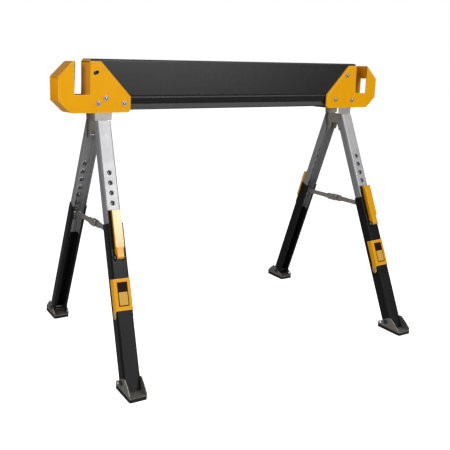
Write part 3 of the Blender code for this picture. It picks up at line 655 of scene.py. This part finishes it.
seat, behind = given["Seat"], times(bolting, given["Seat"], -1.0)
tail = sum_of(bolting, given["Nut height"], THREAD_PAST_NUT * MM)
dome_radius = times(bolting, given["Head radius"], DOME_SHARE)
dome_size = feed(bolting, "ShaderNodeCombineXYZ", {
    "X": dome_radius, "Y": dome_radius, "Z": given["Head height"]})
dome = feed(bolting, "MeshUVSphere", {"Segments": 32, "Rings": 14, "Radius": 1.0})
one_bolt = joined(
    bolting,
    turned_part(bolting, 32, given["Head radius"], given["Flange height"],
                sum_of(bolting, seat, times(bolting, given["Flange height"], 0.5))),
    stood_at(bolting, dome, seat, dome_size),
    turned_part(bolting, 32, given["Head radius"], WASHER_HEIGHT * MM,
                sum_of(bolting, behind, -WASHER_SUNK * MM)),
    turned_part(bolting, 6, given["Nut radius"], given["Nut height"],
                sum_of(bolting, behind, times(bolting, given["Nut height"], -0.5))),
    turned_part(bolting, 20, given["Shank radius"],
                sum_of(bolting, times(bolting, seat, 2.0), tail), times(bolting, tail, -0.5)))
spots = feed(bolting, "MeshToPoints", {"Mesh": given["Start"]})
laid = feed(bolting, "InstanceOnPoints", {
    "Points": spots, "Instance": one_bolt, "Rotation": (math.pi / 2, 0.0, 0.0)})
hand_over(bolting, laid, given, result)

# Zinc plating: pale blue-grey metal with blotches, and crystals in it where it was dipped hot
zinc_group, given, result = open_tree(
    "ShaderNodeTree", "Zinc skin",
    {"Place": VECTOR, "Crystals per metre": NUMBER, "Contrast": NUMBER},
    {"Tone": NUMBER, "Dullness": NUMBER})
crystals = put(zinc_group, "TexVoronoi", {
    "Vector": given["Place"], "Scale": given["Crystals per metre"], "Randomness": 1.0})
grey = feed(zinc_group, "SeparateColor", {"Color": crystals.outputs["Color"]})
blotch = noise(zinc_group, given["Place"], 38.0, 6.0, 0.7)
joint = feed(zinc_group, "Mix", {"Factor": 0.55, "A": grey, "B": blotch})
swing = times(zinc_group, sum_of(zinc_group, joint, -0.5), given["Contrast"])
zinc_group.links.new(sum_of(zinc_group, swing, 1.0), result["Tone"])
zinc_group.links.new(blotch, result["Dullness"])

PALE_EDGE = (0.86, 0.86, 0.87, 1.0)
GREY_DUST = (0.55, 0.53, 0.50, 1.0)
ROLLED_SCALE = (900.0, 900.0, 14.0)


def zinc(name, colour, roughness, crystals, contrast, streaks=0.0, dust=0.05):
    """Zinc-plated steel; streaks run along a rolled piece."""
    material, tree = new_material(name)
    place = put(tree, "Attribute", attribute_name="made").outputs["Vector"]
    skin = put(tree, "Group", {
        "Place": place, "Crystals per metre": crystals, "Contrast": contrast},
        node_tree=zinc_group).outputs
    thin_and_lit_edge, dusty = thinned_lit_edges_and_dust(tree, place, dust)
    drawn = feed(tree, "Mapping", {"Vector": place, "Scale": ROLLED_SCALE})
    lines = noise(tree, drawn, 1.0, 3.0)
    streak = ranged(tree, lines, 0.3, 0.7, 1.0 - streaks, 1.0 + streaks)
    tint = feed(tree, "VectorMath", {
        0: colour, "Scale": times(tree, skin["Tone"], streak)}, operation="SCALE")
    # Edges go pale where the plating thins and as a painted highlight.
    bright = mixed(tree, times(tree, thin_and_lit_edge, 0.5), tint, PALE_EDGE)
    bump = feed(tree, "Bump", {"Height": lines, "Strength": 0.08, "Distance": SKIN_RELIEF})
    metal = feed(tree, "BsdfPrincipled", {
        "Base Color": mixed(tree, dusty, bright, GREY_DUST), "Metallic": 0.76,
        "Roughness": ranged(tree, skin["Dullness"], 0.0, 1.0, roughness - 0.08, roughness + 0.14),
        "Normal": bump})
    put(tree, "OutputMaterial", {"Surface": metal})
    return material


def bare_points(name, spots=((0, 0, 0),)):
    """A piece of points alone, for a node tree to grow on."""
    mesh = bpy.data.meshes.new(name)
    mesh.from_pydata([Vector(spot) * MM for spot in spots], [], [])
    return placed(name, mesh)


bolt_zinc = zinc("bolt_zinc", (0.44, 0.42, 0.46), 0.16, 900.0, 0.10)
plate_zinc = zinc("plate_zinc", (0.46, 0.43, 0.39), 0.36, 170.0, 0.40, 0.05)
spots = [(x, 0.0, z) for side in (-1, 1) for x, z in bolt_centres(side)]
bolts = grow(bare_points("bracket_bolts", spots), bolting, {
    "Seat": (BRACKET_HALF_DEPTH + PLAY) * MM, "Head radius": HEAD_RADIUS * MM,
    "Head height": HEAD_HEIGHT * MM, "Flange height": FLANGE_HEIGHT * MM,
    "Nut radius": NUT_RADIUS * MM, "Nut height": NUT_HEIGHT * MM,
    "Shank radius": BOLT_RADIUS * MM, "Material": bolt_zinc})
soften(bolts, 0.3, clean=False)
fit(bolts, "frame", [f"{word}_bracket_bolt_{n}" for word in ("left", "right") for n in (1, 2, 3)],
    bolt_zinc)


# Yokes and fold pins
# A zinc-plated plate lies between bracket and beam on each side, and a bridge under the beam
# joins the two. Their ears hold the riveted pin that the leg set folds on.
FOLD_X = 407.0
FOLD_Z = 600.0
FOLD_PIN_RADIUS = 4.0
YOKE_FAR = 30.0
PIN_SIDES = 28


def pressed_copy(node, name, body, rounding=0.6):
    """A plated copy of a CAD node, with its flat faces whole and its edges rounded."""
    thing = face_outward(placed(name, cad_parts[node].data.copy()))
    soften(thing, rounding)
    fit(thing, body, [node], plate_zinc)


pinning, given, result = growing_tree("Headed pin", {
    "Shank radius": NUMBER, "Reach": NUMBER, "Head radius": NUMBER, "Head height": NUMBER})
out = sum_of(pinning, given["Reach"], times(pinning, given["Head height"], 0.5))
shank = turned_part(pinning, PIN_SIDES, given["Shank radius"],
                    times(pinning, given["Reach"], 2.0), 0.0)
heads = [turned_part(pinning, PIN_SIDES, given["Head radius"], given["Head height"],
                     times(pinning, out, way)) for way in (-1.0, 1.0)]
hand_over(pinning, joined(pinning, shank, *heads), given, result)

ALONG_X = Matrix.Rotation(math.pi / 2, 4, "Y")
ALONG_Y = Matrix.Rotation(math.pi / 2, 4, "X")


def shifted(x, y, z):
    return Matrix.Translation(Vector((x, y, z)) * MM)


def pin(name, matrix, shank, reach, head, height, body, node, rounding=0.8, material=bolt_zinc):
    """A pin with a formed head at each end, across the place that the matrix gives."""
    thing = grow(bare_points(name), pinning, {
        "Shank radius": shank * MM, "Reach": reach * MM, "Head radius": head * MM,
        "Head height": height * MM, "Material": material})
    soften(thing, rounding, 3, clean=False)
    fit(thing, body, [node], material, matrix)


for side, word in ((-1, "left"), (1, "right")):
    pressed_copy(f"{word}_yoke", f"{word}_yoke_pressed", "frame")
    pin(f"{word}_fold_rivet", shifted(side * FOLD_X, 0, FOLD_Z) @ ALONG_Y, FOLD_PIN_RADIUS,
        YOKE_FAR + PLAY, FOLD_PIN_RADIUS + 3, 2.2, "frame", f"{word}_yoke_fold_pin")


# Swivels
# A thick folded piece hangs on the fold pin between the yoke's ears. Its four lugs hold the
# pins that the front and the back leg hinge on.
SPLAY = math.radians(2.26)
HINGE_Y = 37.0
HINGE_DROP = 22.0
HINGE_PIN_RADIUS = 3.0
UPPER_HALF_WIDTH = 18.0
sides = {"left": -1, "right": 1}
set_place = {word: shifted(side * FOLD_X, 0, FOLD_Z) @ Matrix.Rotation(-side * SPLAY, 4, "Y")
             for word, side in sides.items()}
for word in sides:
    pressed_copy(f"{word}_swivel", f"{word}_swivel_folded", f"{word}_swivel")
    for place, y in (("front", -HINGE_Y), ("back", HINGE_Y)):
        spot = set_place[word] @ shifted(0, y, -HINGE_DROP) @ ALONG_X
        pin(f"{word}_{place}_hinge_rivet", spot, HINGE_PIN_RADIUS, UPPER_HALF_WIDTH + PLAY,
            HINGE_PIN_RADIUS + 2.5, 2.2, f"{word}_swivel", f"{word}_swivel_{place}_pin")


# Upper legs
# A galvanised channel, open on its inner side. Its eight latch holes have a pocket pressed
# behind them, in a darker zinc that paints the shade inside, and its top end is cut away
# where the leg folds past the beam.
SPREAD = math.radians(21.3)
UPPER_FACE = 13.5
UPPER_DEPTH = 21.0
UPPER_TOP = -39.8
UPPER_END = 322.0
UPPER_TRIM = ((-4.0, -7.5), (-12.0, -2.0), (-24.0, 6.0), (-38.0, 11.4))
HOLE_FIRST = 93.2
HOLE_PITCH = 25.4
HOLE_COUNT = 8
HOLE_RADIUS = 6.5
POCKET_FLATNESS = 0.65
POCKET_SHEET = 0.9
LEG_BEND = 3.4
LIP_BEND = 1.8
BRACE_AT = 244.0
BRACE_PIN_RADIUS = 3.0
PUNCH_REACH = 5.0

leg_zinc = zinc("leg_zinc", (0.45, 0.45, 0.46), 0.46, 150.0, 0.20, 0.05)
# Darker zinc for the pockets: painted shade inside the latch holes.
pocket_shaded_zinc = zinc("pocket_shaded_zinc", (0.15, 0.15, 0.155), 0.26, 300.0, 0.12, dust=0.02)
ends = {"front": -1, "back": 1}
facing = {"front": Matrix.Rotation(math.pi, 4, "Z"), "back": Matrix()}
leg_place = {(word, place): set_place[word] @ facing[place]
             @ shifted(0, HINGE_Y, -HINGE_DROP) @ Matrix.Rotation(SPREAD, 4, "X")
             for word in sides for place in ends}


def channel_line(half, face, depth, start, lip=0.0):
    """The outer line of a channel across a leg, in x and n, with its bend radii."""
    low, low_bend = face - depth, LIP_BEND if lip else 0.0
    web = [(-half, low, start, low_bend), (-half, face, start, LEG_BEND),
           (half, face, start, LEG_BEND), (half, low, start, low_bend)]
    if lip:
        web = [(lip - half, low, start, 0.0)] + web + [(half - lip, low, start, 0.0)]
    return web


def leg_side(points):
    """An outline given as s and n, in the leg's own n and z."""
    return [(n, -s) for s, n in points]


def bore(centre, radius):
    """A hole across a leg for a pin, with a little play."""
    return circle(centre, radius + PLAY), "X", -THROUGH, THROUGH


def punched(down, radius, face):
    """A hole in a leg's face, some way down the leg."""
    return circle((0, -down), radius), "Y", face - PUNCH_REACH, face + PUNCH_REACH


pocketing, given, result = growing_tree("Latch pockets", {
    "Count": COUNT, "Pitch": NUMBER, "First": NUMBER, "Face": NUMBER, "Radius": NUMBER,
    "Flatness": NUMBER, "Sheet": NUMBER})
ball = feed(pocketing, "MeshUVSphere", {"Segments": 24, "Rings": 12, "Radius": given["Radius"]})
spot = put(pocketing, "ShaderNodeSeparateXYZ", {0: feed(pocketing, "InputPosition")})
upper = feed(pocketing, "FunctionNodeCompare", {0: spot.outputs["Z"], 1: 0.0},
            data_type="FLOAT", operation="GREATER_THAN")
bowl = feed(pocketing, "DeleteGeometry", {"Geometry": ball, "Selection": upper}, domain="FACE")
inner = feed(pocketing, "ExtrudeMesh", {
    "Mesh": bowl, "Individual": False,
    "Offset Scale": times(pocketing, given["Sheet"], -1.0)}, mode="FACES")
turned = feed(pocketing, "FlipFaces", {"Mesh": inner})
cup = feed(pocketing, "MergeByDistance", {
    "Geometry": joined(pocketing, bowl, turned), "Distance": 1e-5})
squash = feed(pocketing, "ShaderNodeCombineXYZ", {"X": 1.0, "Y": 1.0, "Z": given["Flatness"]})
pressed_in = feed(pocketing, "Transform", {
    "Geometry": cup, "Rotation": (-math.pi / 2, 0.0, 0.0),
    "Scale": squash})
begin = feed(pocketing, "ShaderNodeCombineXYZ", {
    "Y": given["Face"], "Z": times(pocketing, given["First"], -1.0)})
onward = feed(pocketing, "ShaderNodeCombineXYZ", {"Z": times(pocketing, given["Pitch"], -1.0)})
row = feed(pocketing, "MeshLine", {
    "Count": given["Count"], "Start Location": begin, "Offset": onward})
cups = feed(pocketing, "InstanceOnPoints", {"Points": row, "Instance": pressed_in})
hand_over(pocketing, cups, given, result)

for (word, place), home in leg_place.items():
    name = f"{word}_{place}"
    pockets = grow(bare_points(f"{name}_latch_pockets"), pocketing, {
        "Count": HOLE_COUNT, "Pitch": HOLE_PITCH * MM, "First": HOLE_FIRST * MM,
        "Face": (UPPER_FACE - 1.0) * MM, "Radius": (HOLE_RADIUS + 0.1) * MM,
        "Flatness": POCKET_FLATNESS, "Sheet": POCKET_SHEET * MM, "Material": pocket_shaded_zinc})
    fit(pockets, f"{name}_leg", [], pocket_shaded_zinc, home)
    line = channel_line(UPPER_HALF_WIDTH, UPPER_FACE, UPPER_DEPTH, -UPPER_END)
    leg = folded(f"{name}_upper_channel", line, (0, 0, UPPER_END - UPPER_TOP), leg_zinc)
    beyond = UPPER_TOP - THROUGH
    trim = leg_side([(beyond, -UPPER_DEPTH), (UPPER_TRIM[0][0], -UPPER_DEPTH), *UPPER_TRIM,
                     (beyond, UPPER_TRIM[-1][1])])
    holes = [punched(HOLE_FIRST + i * HOLE_PITCH, HOLE_RADIUS, UPPER_FACE)
             for i in range(HOLE_COUNT)]
    work(leg, [(trim, "X", -THROUGH, THROUGH)] + holes
         + [bore((0, 0), HINGE_PIN_RADIUS), bore((0, -BRACE_AT), BRACE_PIN_RADIUS)])
    soften(leg, 0.35)
    fit(leg, f"{name}_leg", [f"{name}_upper_leg"], leg_zinc, home)
    spot = home @ shifted(0, 0, -BRACE_AT) @ ALONG_X
    pin(f"{name}_brace_rivet", spot, BRACE_PIN_RADIUS, UPPER_HALF_WIDTH - 0.2, BRACE_PIN_RADIUS,
        0.1, f"{name}_leg", f"{name}_brace_pin", 0.04)


# Lower legs
# A black powder-coated channel that slides over the upper leg. Its edges turn in to hold the
# upper leg, its top end narrows to a tongue behind the latch, and two ears hold the lever.
LOWER_FACE = 15.9
LOWER_HALF_WIDTH = 20.4
LOWER_DEPTH = 25.3
LOWER_END = 664.0
LOWER_SHEET = 1.9
LEG_LIP = 6.4
TONGUE_TOP = 187.0
LOWER_TOP = 219.0
TONGUE_HALF_WIDTH = 15.5
LATCH_AT = 194.8
LATCH_RADIUS = 4.0
LEVER_PIN_DOWN = 303.0
LEVER_PIN_OUT = 21.5
LEVER_PIN_RADIUS = 2.5
EAR_OUT = 9.5
EAR_RADIUS = 6.5
EAR_HALF_LENGTH = 11.0
STEP_PIN_DOWN = 441.0
STEP_PIN_OUT = 6.0
STEP_PIN_RADIUS = 3.0
GROUND_GAP_Z = 10.6
FOOT_X = 430.68
FOOT_Y = 265.03
FOOT_BOLT = (-9.6, 26.0)
FOOT_BOLT_RADIUS = 3.5

leg_black = powder_coat("leg_black", (0.006, 0.006, 0.0065, 1), (0.010, 0.010, 0.0105, 1),
                        (0.08, 0.08, 0.085, 1), 0.30, 1000.0, 0.01, gloss=0.14)
foot_place, foot_tilt = {}, {}
for word, side in sides.items():
    for place, face in ends.items():
        foot_place[word, place] = shifted(side * FOOT_X, face * FOOT_Y, 0) @ facing[place]
        foot_tilt[word, place] = Matrix.Rotation(-side * face * SPLAY, 4, "Y")

for (word, place), home in leg_place.items():
    name = f"{word}_{place}"
    to_leg = home.inverted() @ foot_place[word, place]
    line = channel_line(LOWER_HALF_WIDTH, LOWER_FACE, LOWER_DEPTH, -LOWER_END, LEG_LIP)
    leg = folded(f"{name}_lower_channel", line, (0, 0, LOWER_END - TONGUE_TOP), leg_black,
                 LOWER_SHEET)
    for x, y in ((TONGUE_HALF_WIDTH, THROUGH), (-THROUGH, -TONGUE_HALF_WIDTH)):
        beside = oblong((x, -THROUGH), (y, THROUGH))
        work(leg, [(beside, "Z", -LOWER_TOP, THROUGH - TONGUE_TOP)])
    wide = 2 * THROUGH
    work(leg, [(oblong((-wide, -wide), (wide, wide)), "Z", -wide, GROUND_GAP_Z)], matrix=to_leg)
    s, n, root = LEVER_PIN_DOWN, LEVER_PIN_OUT, LOWER_FACE - 1.0
    ear = leg_side([(s + EAR_HALF_LENGTH, root), (s - EAR_HALF_LENGTH, root)])
    ear += arc((n, -s), EAR_RADIUS, 75, -75, 12)
    for start in (EAR_OUT, -EAR_OUT - SHEET):
        work(leg, [(ear, "X", start, start + SHEET)], "UNION")
    bores = [punched(LATCH_AT, LATCH_RADIUS + 1.0, LOWER_FACE), bore((n, -s), LEVER_PIN_RADIUS)]
    if place == "front":
        bores.append(bore((STEP_PIN_OUT, -STEP_PIN_DOWN), STEP_PIN_RADIUS))
    work(leg, bores)
    work(leg, [bore(FOOT_BOLT, FOOT_BOLT_RADIUS)], matrix=to_leg @ foot_tilt[word, place])
    soften(leg, 0.35)
    fit(leg, f"{name}_lower", [f"{name}_lower_leg"], leg_black, home)


# Latch levers
# A pressed cover with a narrower neck, coated amber. It turns on a pin between the leg's ears
# and holds the plated latch pin in one of the upper leg's holes. A coil spring closes it.
LEVER_HALF_WIDTH = 12.0
LEVER_FOOT = 8.0
LEVER_TOP = 188.0
SHOULDER_START, SHOULDER_END = 278.0, 283.5
LEVER_FACE = 32.0
LEVER_BASE = 16.6
NECK_HALF_WIDTH = 8.8
NECK_FACE = 31.0
NECK_TIP = (26.5, 307.0)
LEVER_EYE = 5.2
LEVER_BEND = 1.7
LEVER_SHEET = 1.8
COLLAR_RADIUS = 6.0
SPRING_RADIUS = 4.3
SPRING_WIRE = 0.7
SPRING_TURNS = 6
SPRING_LENGTH = 11.0
BEND_STEPS = 4


def pressed(name, faces, bend, sheet):
    """A pressed sheet from the flat faces of its outer side, rounded where they meet."""
    build = bmesh.new()
    for face in faces:
        build.faces.new([build.verts.new(Vector(point) * MM) for point in face])
    bmesh.ops.remove_doubles(build, verts=build.verts, dist=1e-5)
    bmesh.ops.recalc_face_normals(build, faces=build.faces)
    mesh = bpy.data.meshes.new(name)
    build.to_mesh(mesh)
    build.free()
    thing = placed(name, mesh)
    step = thing.modifiers.new("bend", "BEVEL")
    step.width, step.segments, step.limit_method = bend * MM, BEND_STEPS, "ANGLE"
    step.angle_limit = math.radians(25)
    step = thing.modifiers.new("sheet", "SOLIDIFY")
    step.thickness, step.offset, step.use_even_offset = sheet * MM, -1.0, True
    return settle(thing)


def lever_faces():
    """The flat faces of a lever: its face in three parts, its two ends and its cheeks."""
    half, neck, face, base = LEVER_HALF_WIDTH, NECK_HALF_WIDTH, LEVER_FACE, LEVER_BASE
    low, top, foot = NECK_FACE, -LEVER_TOP, LEVER_FOOT
    a, b, c = -SHOULDER_START, -SHOULDER_END, -LEVER_PIN_DOWN
    tail = (NECK_TIP[0], -NECK_TIP[1])
    made = [[(-half, face, top), (half, face, top), (half, face, a), (-half, face, a)],
            [(-half, face, a), (half, face, a), (neck, low, b), (-neck, low, b)],
            [(-neck, low, b), (neck, low, b), (neck, low, c), (-neck, low, c)],
            [(-neck, low, c), (neck, low, c), (neck, *tail), (-neck, *tail)],
            [(-foot, base, top), (foot, base, top), (half, face, top), (-half, face, top)]]
    eye = [tail] + arc((LEVER_PIN_OUT, c), LEVER_EYE, -62, -158, 6)
    for way in (-1, 1):
        x, y, z = way * half, way * neck, way * foot
        made.append([(z, base, top), (x, face, top), (x, face, a), (z, base, a)])
        made.append([(z, base, a), (x, face, a), (y, low, b), (y, base, b)])
        made.append([(y, base, b), (y, low, b), (y, low, c)] + [(y, n, d) for n, d in eye])
    return made


coiling, given, result = growing_tree("Coil spring", {
    "Turns": NUMBER, "Coil radius": NUMBER, "Wire radius": NUMBER, "Length": NUMBER})
coil = feed(coiling, "CurveSpiral", {
    "Resolution": 16, "Rotations": given["Turns"], "Start Radius": given["Coil radius"],
    "End Radius": given["Coil radius"], "Height": given["Length"]})
wire = feed(coiling, "CurvePrimitiveCircle", {"Resolution": 8, "Radius": given["Wire radius"]})
drawn = feed(coiling, "CurveToMesh", {"Curve": coil, "Profile Curve": wire, "Fill Caps": True})
hand_over(coiling, drawn, given, result)

spring_steel = zinc("spring_steel", (0.30, 0.30, 0.31), 0.30, 700.0, 0.15)
lever_amber = powder_coat("lever_amber", (0.80, 0.365, 0.002, 1), (0.75, 0.33, 0.001, 1),
                          (0.86, 0.50, 0.10, 1), 0.17, 850.0, 0.02, peel=0.15, gloss=0.75)
for (word, place), home in leg_place.items():
    name = f"{word}_{place}"
    s, n = LEVER_PIN_DOWN, LEVER_PIN_OUT
    hinge = shifted(0, n, -s) @ ALONG_X
    lever = pressed(f"{name}_lever_pressed", lever_faces(), LEVER_BEND, LEVER_SHEET)
    work(lever, [bore((n, -s), LEVER_PIN_RADIUS)])
    soften(lever, 0.3)
    fit(lever, f"{name}_lever", [f"{name}_lever"], lever_amber, home)
    latch = placed(f"{name}_latch_pin", blocks("latch", [
        (circle((0, -LATCH_AT), LATCH_RADIUS, PIN_SIDES), "Y", UPPER_FACE + 0.4,
         LEVER_FACE - 1.5),
        (circle((0, -LATCH_AT), COLLAR_RADIUS, PIN_SIDES), "Y", LEVER_FACE - 5.0,
         LEVER_FACE - 1.6)]))
    soften(latch, 0.5, clean=False)
    fit(latch, f"{name}_lever", [], bolt_zinc, home)
    pin(f"{name}_lever_rivet", home @ hinge, LEVER_PIN_RADIUS, EAR_OUT + SHEET + PLAY,
        LEVER_PIN_RADIUS + 1.5, 1.5, f"{name}_lower", f"{name}_lever_pin", 0.6)
    spring = grow(bare_points(f"{name}_latch_spring"), coiling, {
        "Turns": float(SPRING_TURNS), "Coil radius": SPRING_RADIUS * MM,
        "Wire radius": SPRING_WIRE * MM, "Length": SPRING_LENGTH * MM, "Material": spring_steel})
    spring.data.transform(hinge @ shifted(0, 0, -SPRING_LENGTH / 2))
    spring.data.shade_smooth()
    fit(spring, f"{name}_lower", [], spring_steel, home)


# Support steps
# A pressed amber cover round each front lower leg, hinged on a pin through the tails of its
# cheeks. It folds down to carry a board. A plain printed label is stuck on its face.
STEP_TOP = 353.7
STEP_BOTTOM = 429.4
STEP_HALF_WIDTH = 22.9
STEP_FACE = 18.4
STEP_BASE = 2.4
STEP_EYE = 7.5
STEP_BEND = 3.2
STEP_SHEET = 1.9
CHEEK_CUT = 6.0
LABEL = ((-13.6, -419.5), (13.6, -362.0))
LABEL_FIELD = ((-11.2, -417.0), (11.2, -386.0))


def step_faces():
    """The flat faces of a step: its face, and two cheeks that end in an eye for the pin."""
    half, face, base = STEP_HALF_WIDTH, STEP_FACE, STEP_BASE
    top, low = -STEP_TOP, -STEP_BOTTOM
    made = [[(-half, face, top), (half, face, top), (half, face, low), (-half, face, low)]]
    cheek = [(base, low + CHEEK_CUT), (base, top), (face, top), (face, low),
             (face - 3.5, low - 1.5)]
    cheek += arc((STEP_PIN_OUT, -STEP_PIN_DOWN), STEP_EYE, 20, -200, 14)
    for x in (-half, half):
        made.append([(x, n, z) for n, z in cheek])
    return made


label_dark = powder_coat("label_dark", (0.012, 0.003, 0.001, 1), (0.016, 0.004, 0.001, 1),
                         (0.03, 0.02, 0.02, 1), 0.50, 1700.0, 0.02, gloss=0.08)
label_pale = powder_coat("label_pale", (0.62, 0.37, 0.06, 1), (0.57, 0.33, 0.05, 1),
                         (0.85, 0.60, 0.20, 1), 0.45, 1700.0, 0.03, gloss=0.3)
films = (("label", LABEL, 0.3, "black_paint", label_dark),
         ("label_field", LABEL_FIELD, 0.45, "yellow_paint", label_pale))
for word in sides:
    home = leg_place[word, "front"]
    name = f"{word}_front"
    s, n = STEP_PIN_DOWN, STEP_PIN_OUT
    cover = pressed(f"{name}_step_pressed", step_faces(), STEP_BEND, STEP_SHEET)
    work(cover, [bore((n, -s), STEP_PIN_RADIUS)])
    soften(cover, 0.3)
    fit(cover, f"{name}_step", [f"{name}_step"], amber, home)
    for layer, (low, high), over, slot, paint in films:
        film = blocks(layer, [(oblong(low, high), "Y", STEP_FACE - 0.1, STEP_FACE + over)])
        label = placed(f"{name}_{layer}", film)
        soften(label, 0.1, clean=False)
        fit(label, f"{name}_step", [], paint, home)
    pin(f"{name}_step_rivet", home @ shifted(0, n, -s) @ ALONG_X, STEP_PIN_RADIUS,
        STEP_HALF_WIDTH + PLAY, STEP_PIN_RADIUS + 2, 1.8, f"{name}_lower", f"{name}_step_pin")


# Braces
# Two flat plated bars per leg pair, each on its leg's pin, wider where they overlap at the
# knuckle. A rivet joins them there, and they fold as the legs close.
for word, place in leg_place:
    name = f"{word}_{place}_brace"
    pressed_copy(name, f"{name}_bar", name, 0.5)


# Feet
# A dark steel shoe bent up from one plate: a flat base and two cheeks, bolted through the leg.
# Under it is a ribbed rubber pad.
INNER_CHEEK = 20.9
FOOT_BEND = 3.0
FOOT_BASE_Z = 7.3
FOOT_CHEEK = (
    (-38.0, FOOT_BASE_Z), (-38.0, 16.0), (-34.0, 21.0), (-27.0, 24.0), (-3.0, 40.0),
    (8.0, 42.0), (23.0, 30.0), (38.0, 15.0), (38.0, FOOT_BASE_Z))
FOOT_HOLE, FOOT_HOLE_RADIUS = (-29.0, 16.0), 3.5
PAD_LENGTH = 81.0
PAD_HALF_WIDTH = 23.0
PAD_HEIGHT = 7.0
PAD_CORNER = 5.0
RIB_PITCH = 6.0
GROOVE_DEPTH = 1.6

foot_bolt_black = zinc("foot_bolt_black", (0.06, 0.06, 0.062), 0.30, 500.0, 0.10)
foot_steel = zinc("foot_steel", (0.30, 0.285, 0.26), 0.42, 260.0, 0.55, 0.0, 0.30)


def rubber(name):
    """Moulded rubber: nearly black, matt, finely grained and dusty."""
    material, tree = new_material(name)
    place = put(tree, "TexCoord").outputs["Object"]
    dusty = feed(tree, "Group", {"Place": place, "Amount": 0.2}, node_tree=dust_group)
    base = mixed(tree, noise(tree, place, 60.0, 4.0), (0.006, 0.006, 0.006, 1),
                 (0.020, 0.020, 0.019, 1))
    bump = feed(tree, "Bump", {
        "Height": noise(tree, place, 900.0, 3.0), "Strength": 0.5, "Distance": 0.0002})
    soft = feed(tree, "BsdfPrincipled", {
        "Base Color": mixed(tree, dusty, base, (0.30, 0.29, 0.27, 1.0)),
        "Roughness": 0.78, "Specular IOR Level": 0.3, "Normal": bump})
    put(tree, "OutputMaterial", {"Surface": soft})
    return material


def foot_faces(tilt):
    """The flat faces of a shoe: its base, and two cheeks that lean with the leg."""
    def at(x, y, z):
        spot = tilt @ Vector((x, y, z))
        return (spot.x, spot.y, z) if z == FOOT_BASE_Z else tuple(spot)

    outer, last = INNER_CHEEK + SHEET, FOOT_CHEEK[-1][0]
    base = ((-outer, -last), (outer, -last), (outer, last), (-outer, last))
    made = [[at(x, y, FOOT_BASE_Z) for x, y in base]]
    for x in (-outer, outer):
        made.append([at(x, y, z) for y, z in FOOT_CHEEK])
    return made


pad_plan = []
for x, y, start in ((1, 1, 0), (-1, 1, 90), (-1, -1, 180), (1, -1, 270)):
    centre = (x * (PAD_HALF_WIDTH - PAD_CORNER), y * (PAD_LENGTH / 2 - PAD_CORNER))
    pad_plan += arc(centre, PAD_CORNER, start, start + 90, 6)
pad_rubber = rubber("pad_rubber")
for (word, place), home in foot_place.items():
    name = f"{word}_{place}"
    tilt = foot_tilt[word, place]
    foot = pressed(f"{name}_foot_shoe", foot_faces(tilt), FOOT_BEND, SHEET)
    work(foot, [(circle(FOOT_HOLE, FOOT_HOLE_RADIUS), "X", -THROUGH, THROUGH),
                bore(FOOT_BOLT, FOOT_BOLT_RADIUS)], matrix=tilt)
    soften(foot, 0.35)
    fit(foot, f"{name}_lower", [f"{name}_foot"], foot_steel, home)
    pad = placed(f"{name}_foot_rubber", blocks("pad", [(pad_plan, "Z", 0, PAD_HEIGHT)]))
    work(pad, [(oblong((-30, RIB_PITCH * i - 1.0), (30, RIB_PITCH * i + 1.0)), "Z", -2,
                GROOVE_DEPTH) for i in range(-6, 7)])
    soften(pad, 0.4)
    fit(pad, f"{name}_lower", [f"{name}_foot_pad"], pad_rubber, home)
    spot = home @ tilt @ shifted(0, *FOOT_BOLT) @ ALONG_X
    pin(f"{name}_foot_rivet", spot, FOOT_BOLT_RADIUS, INNER_CHEEK + SHEET + PLAY,
        FOOT_BOLT_RADIUS + 3, 3.0, f"{name}_lower", f"{name}_foot_bolt", 1.2, foot_bolt_black)
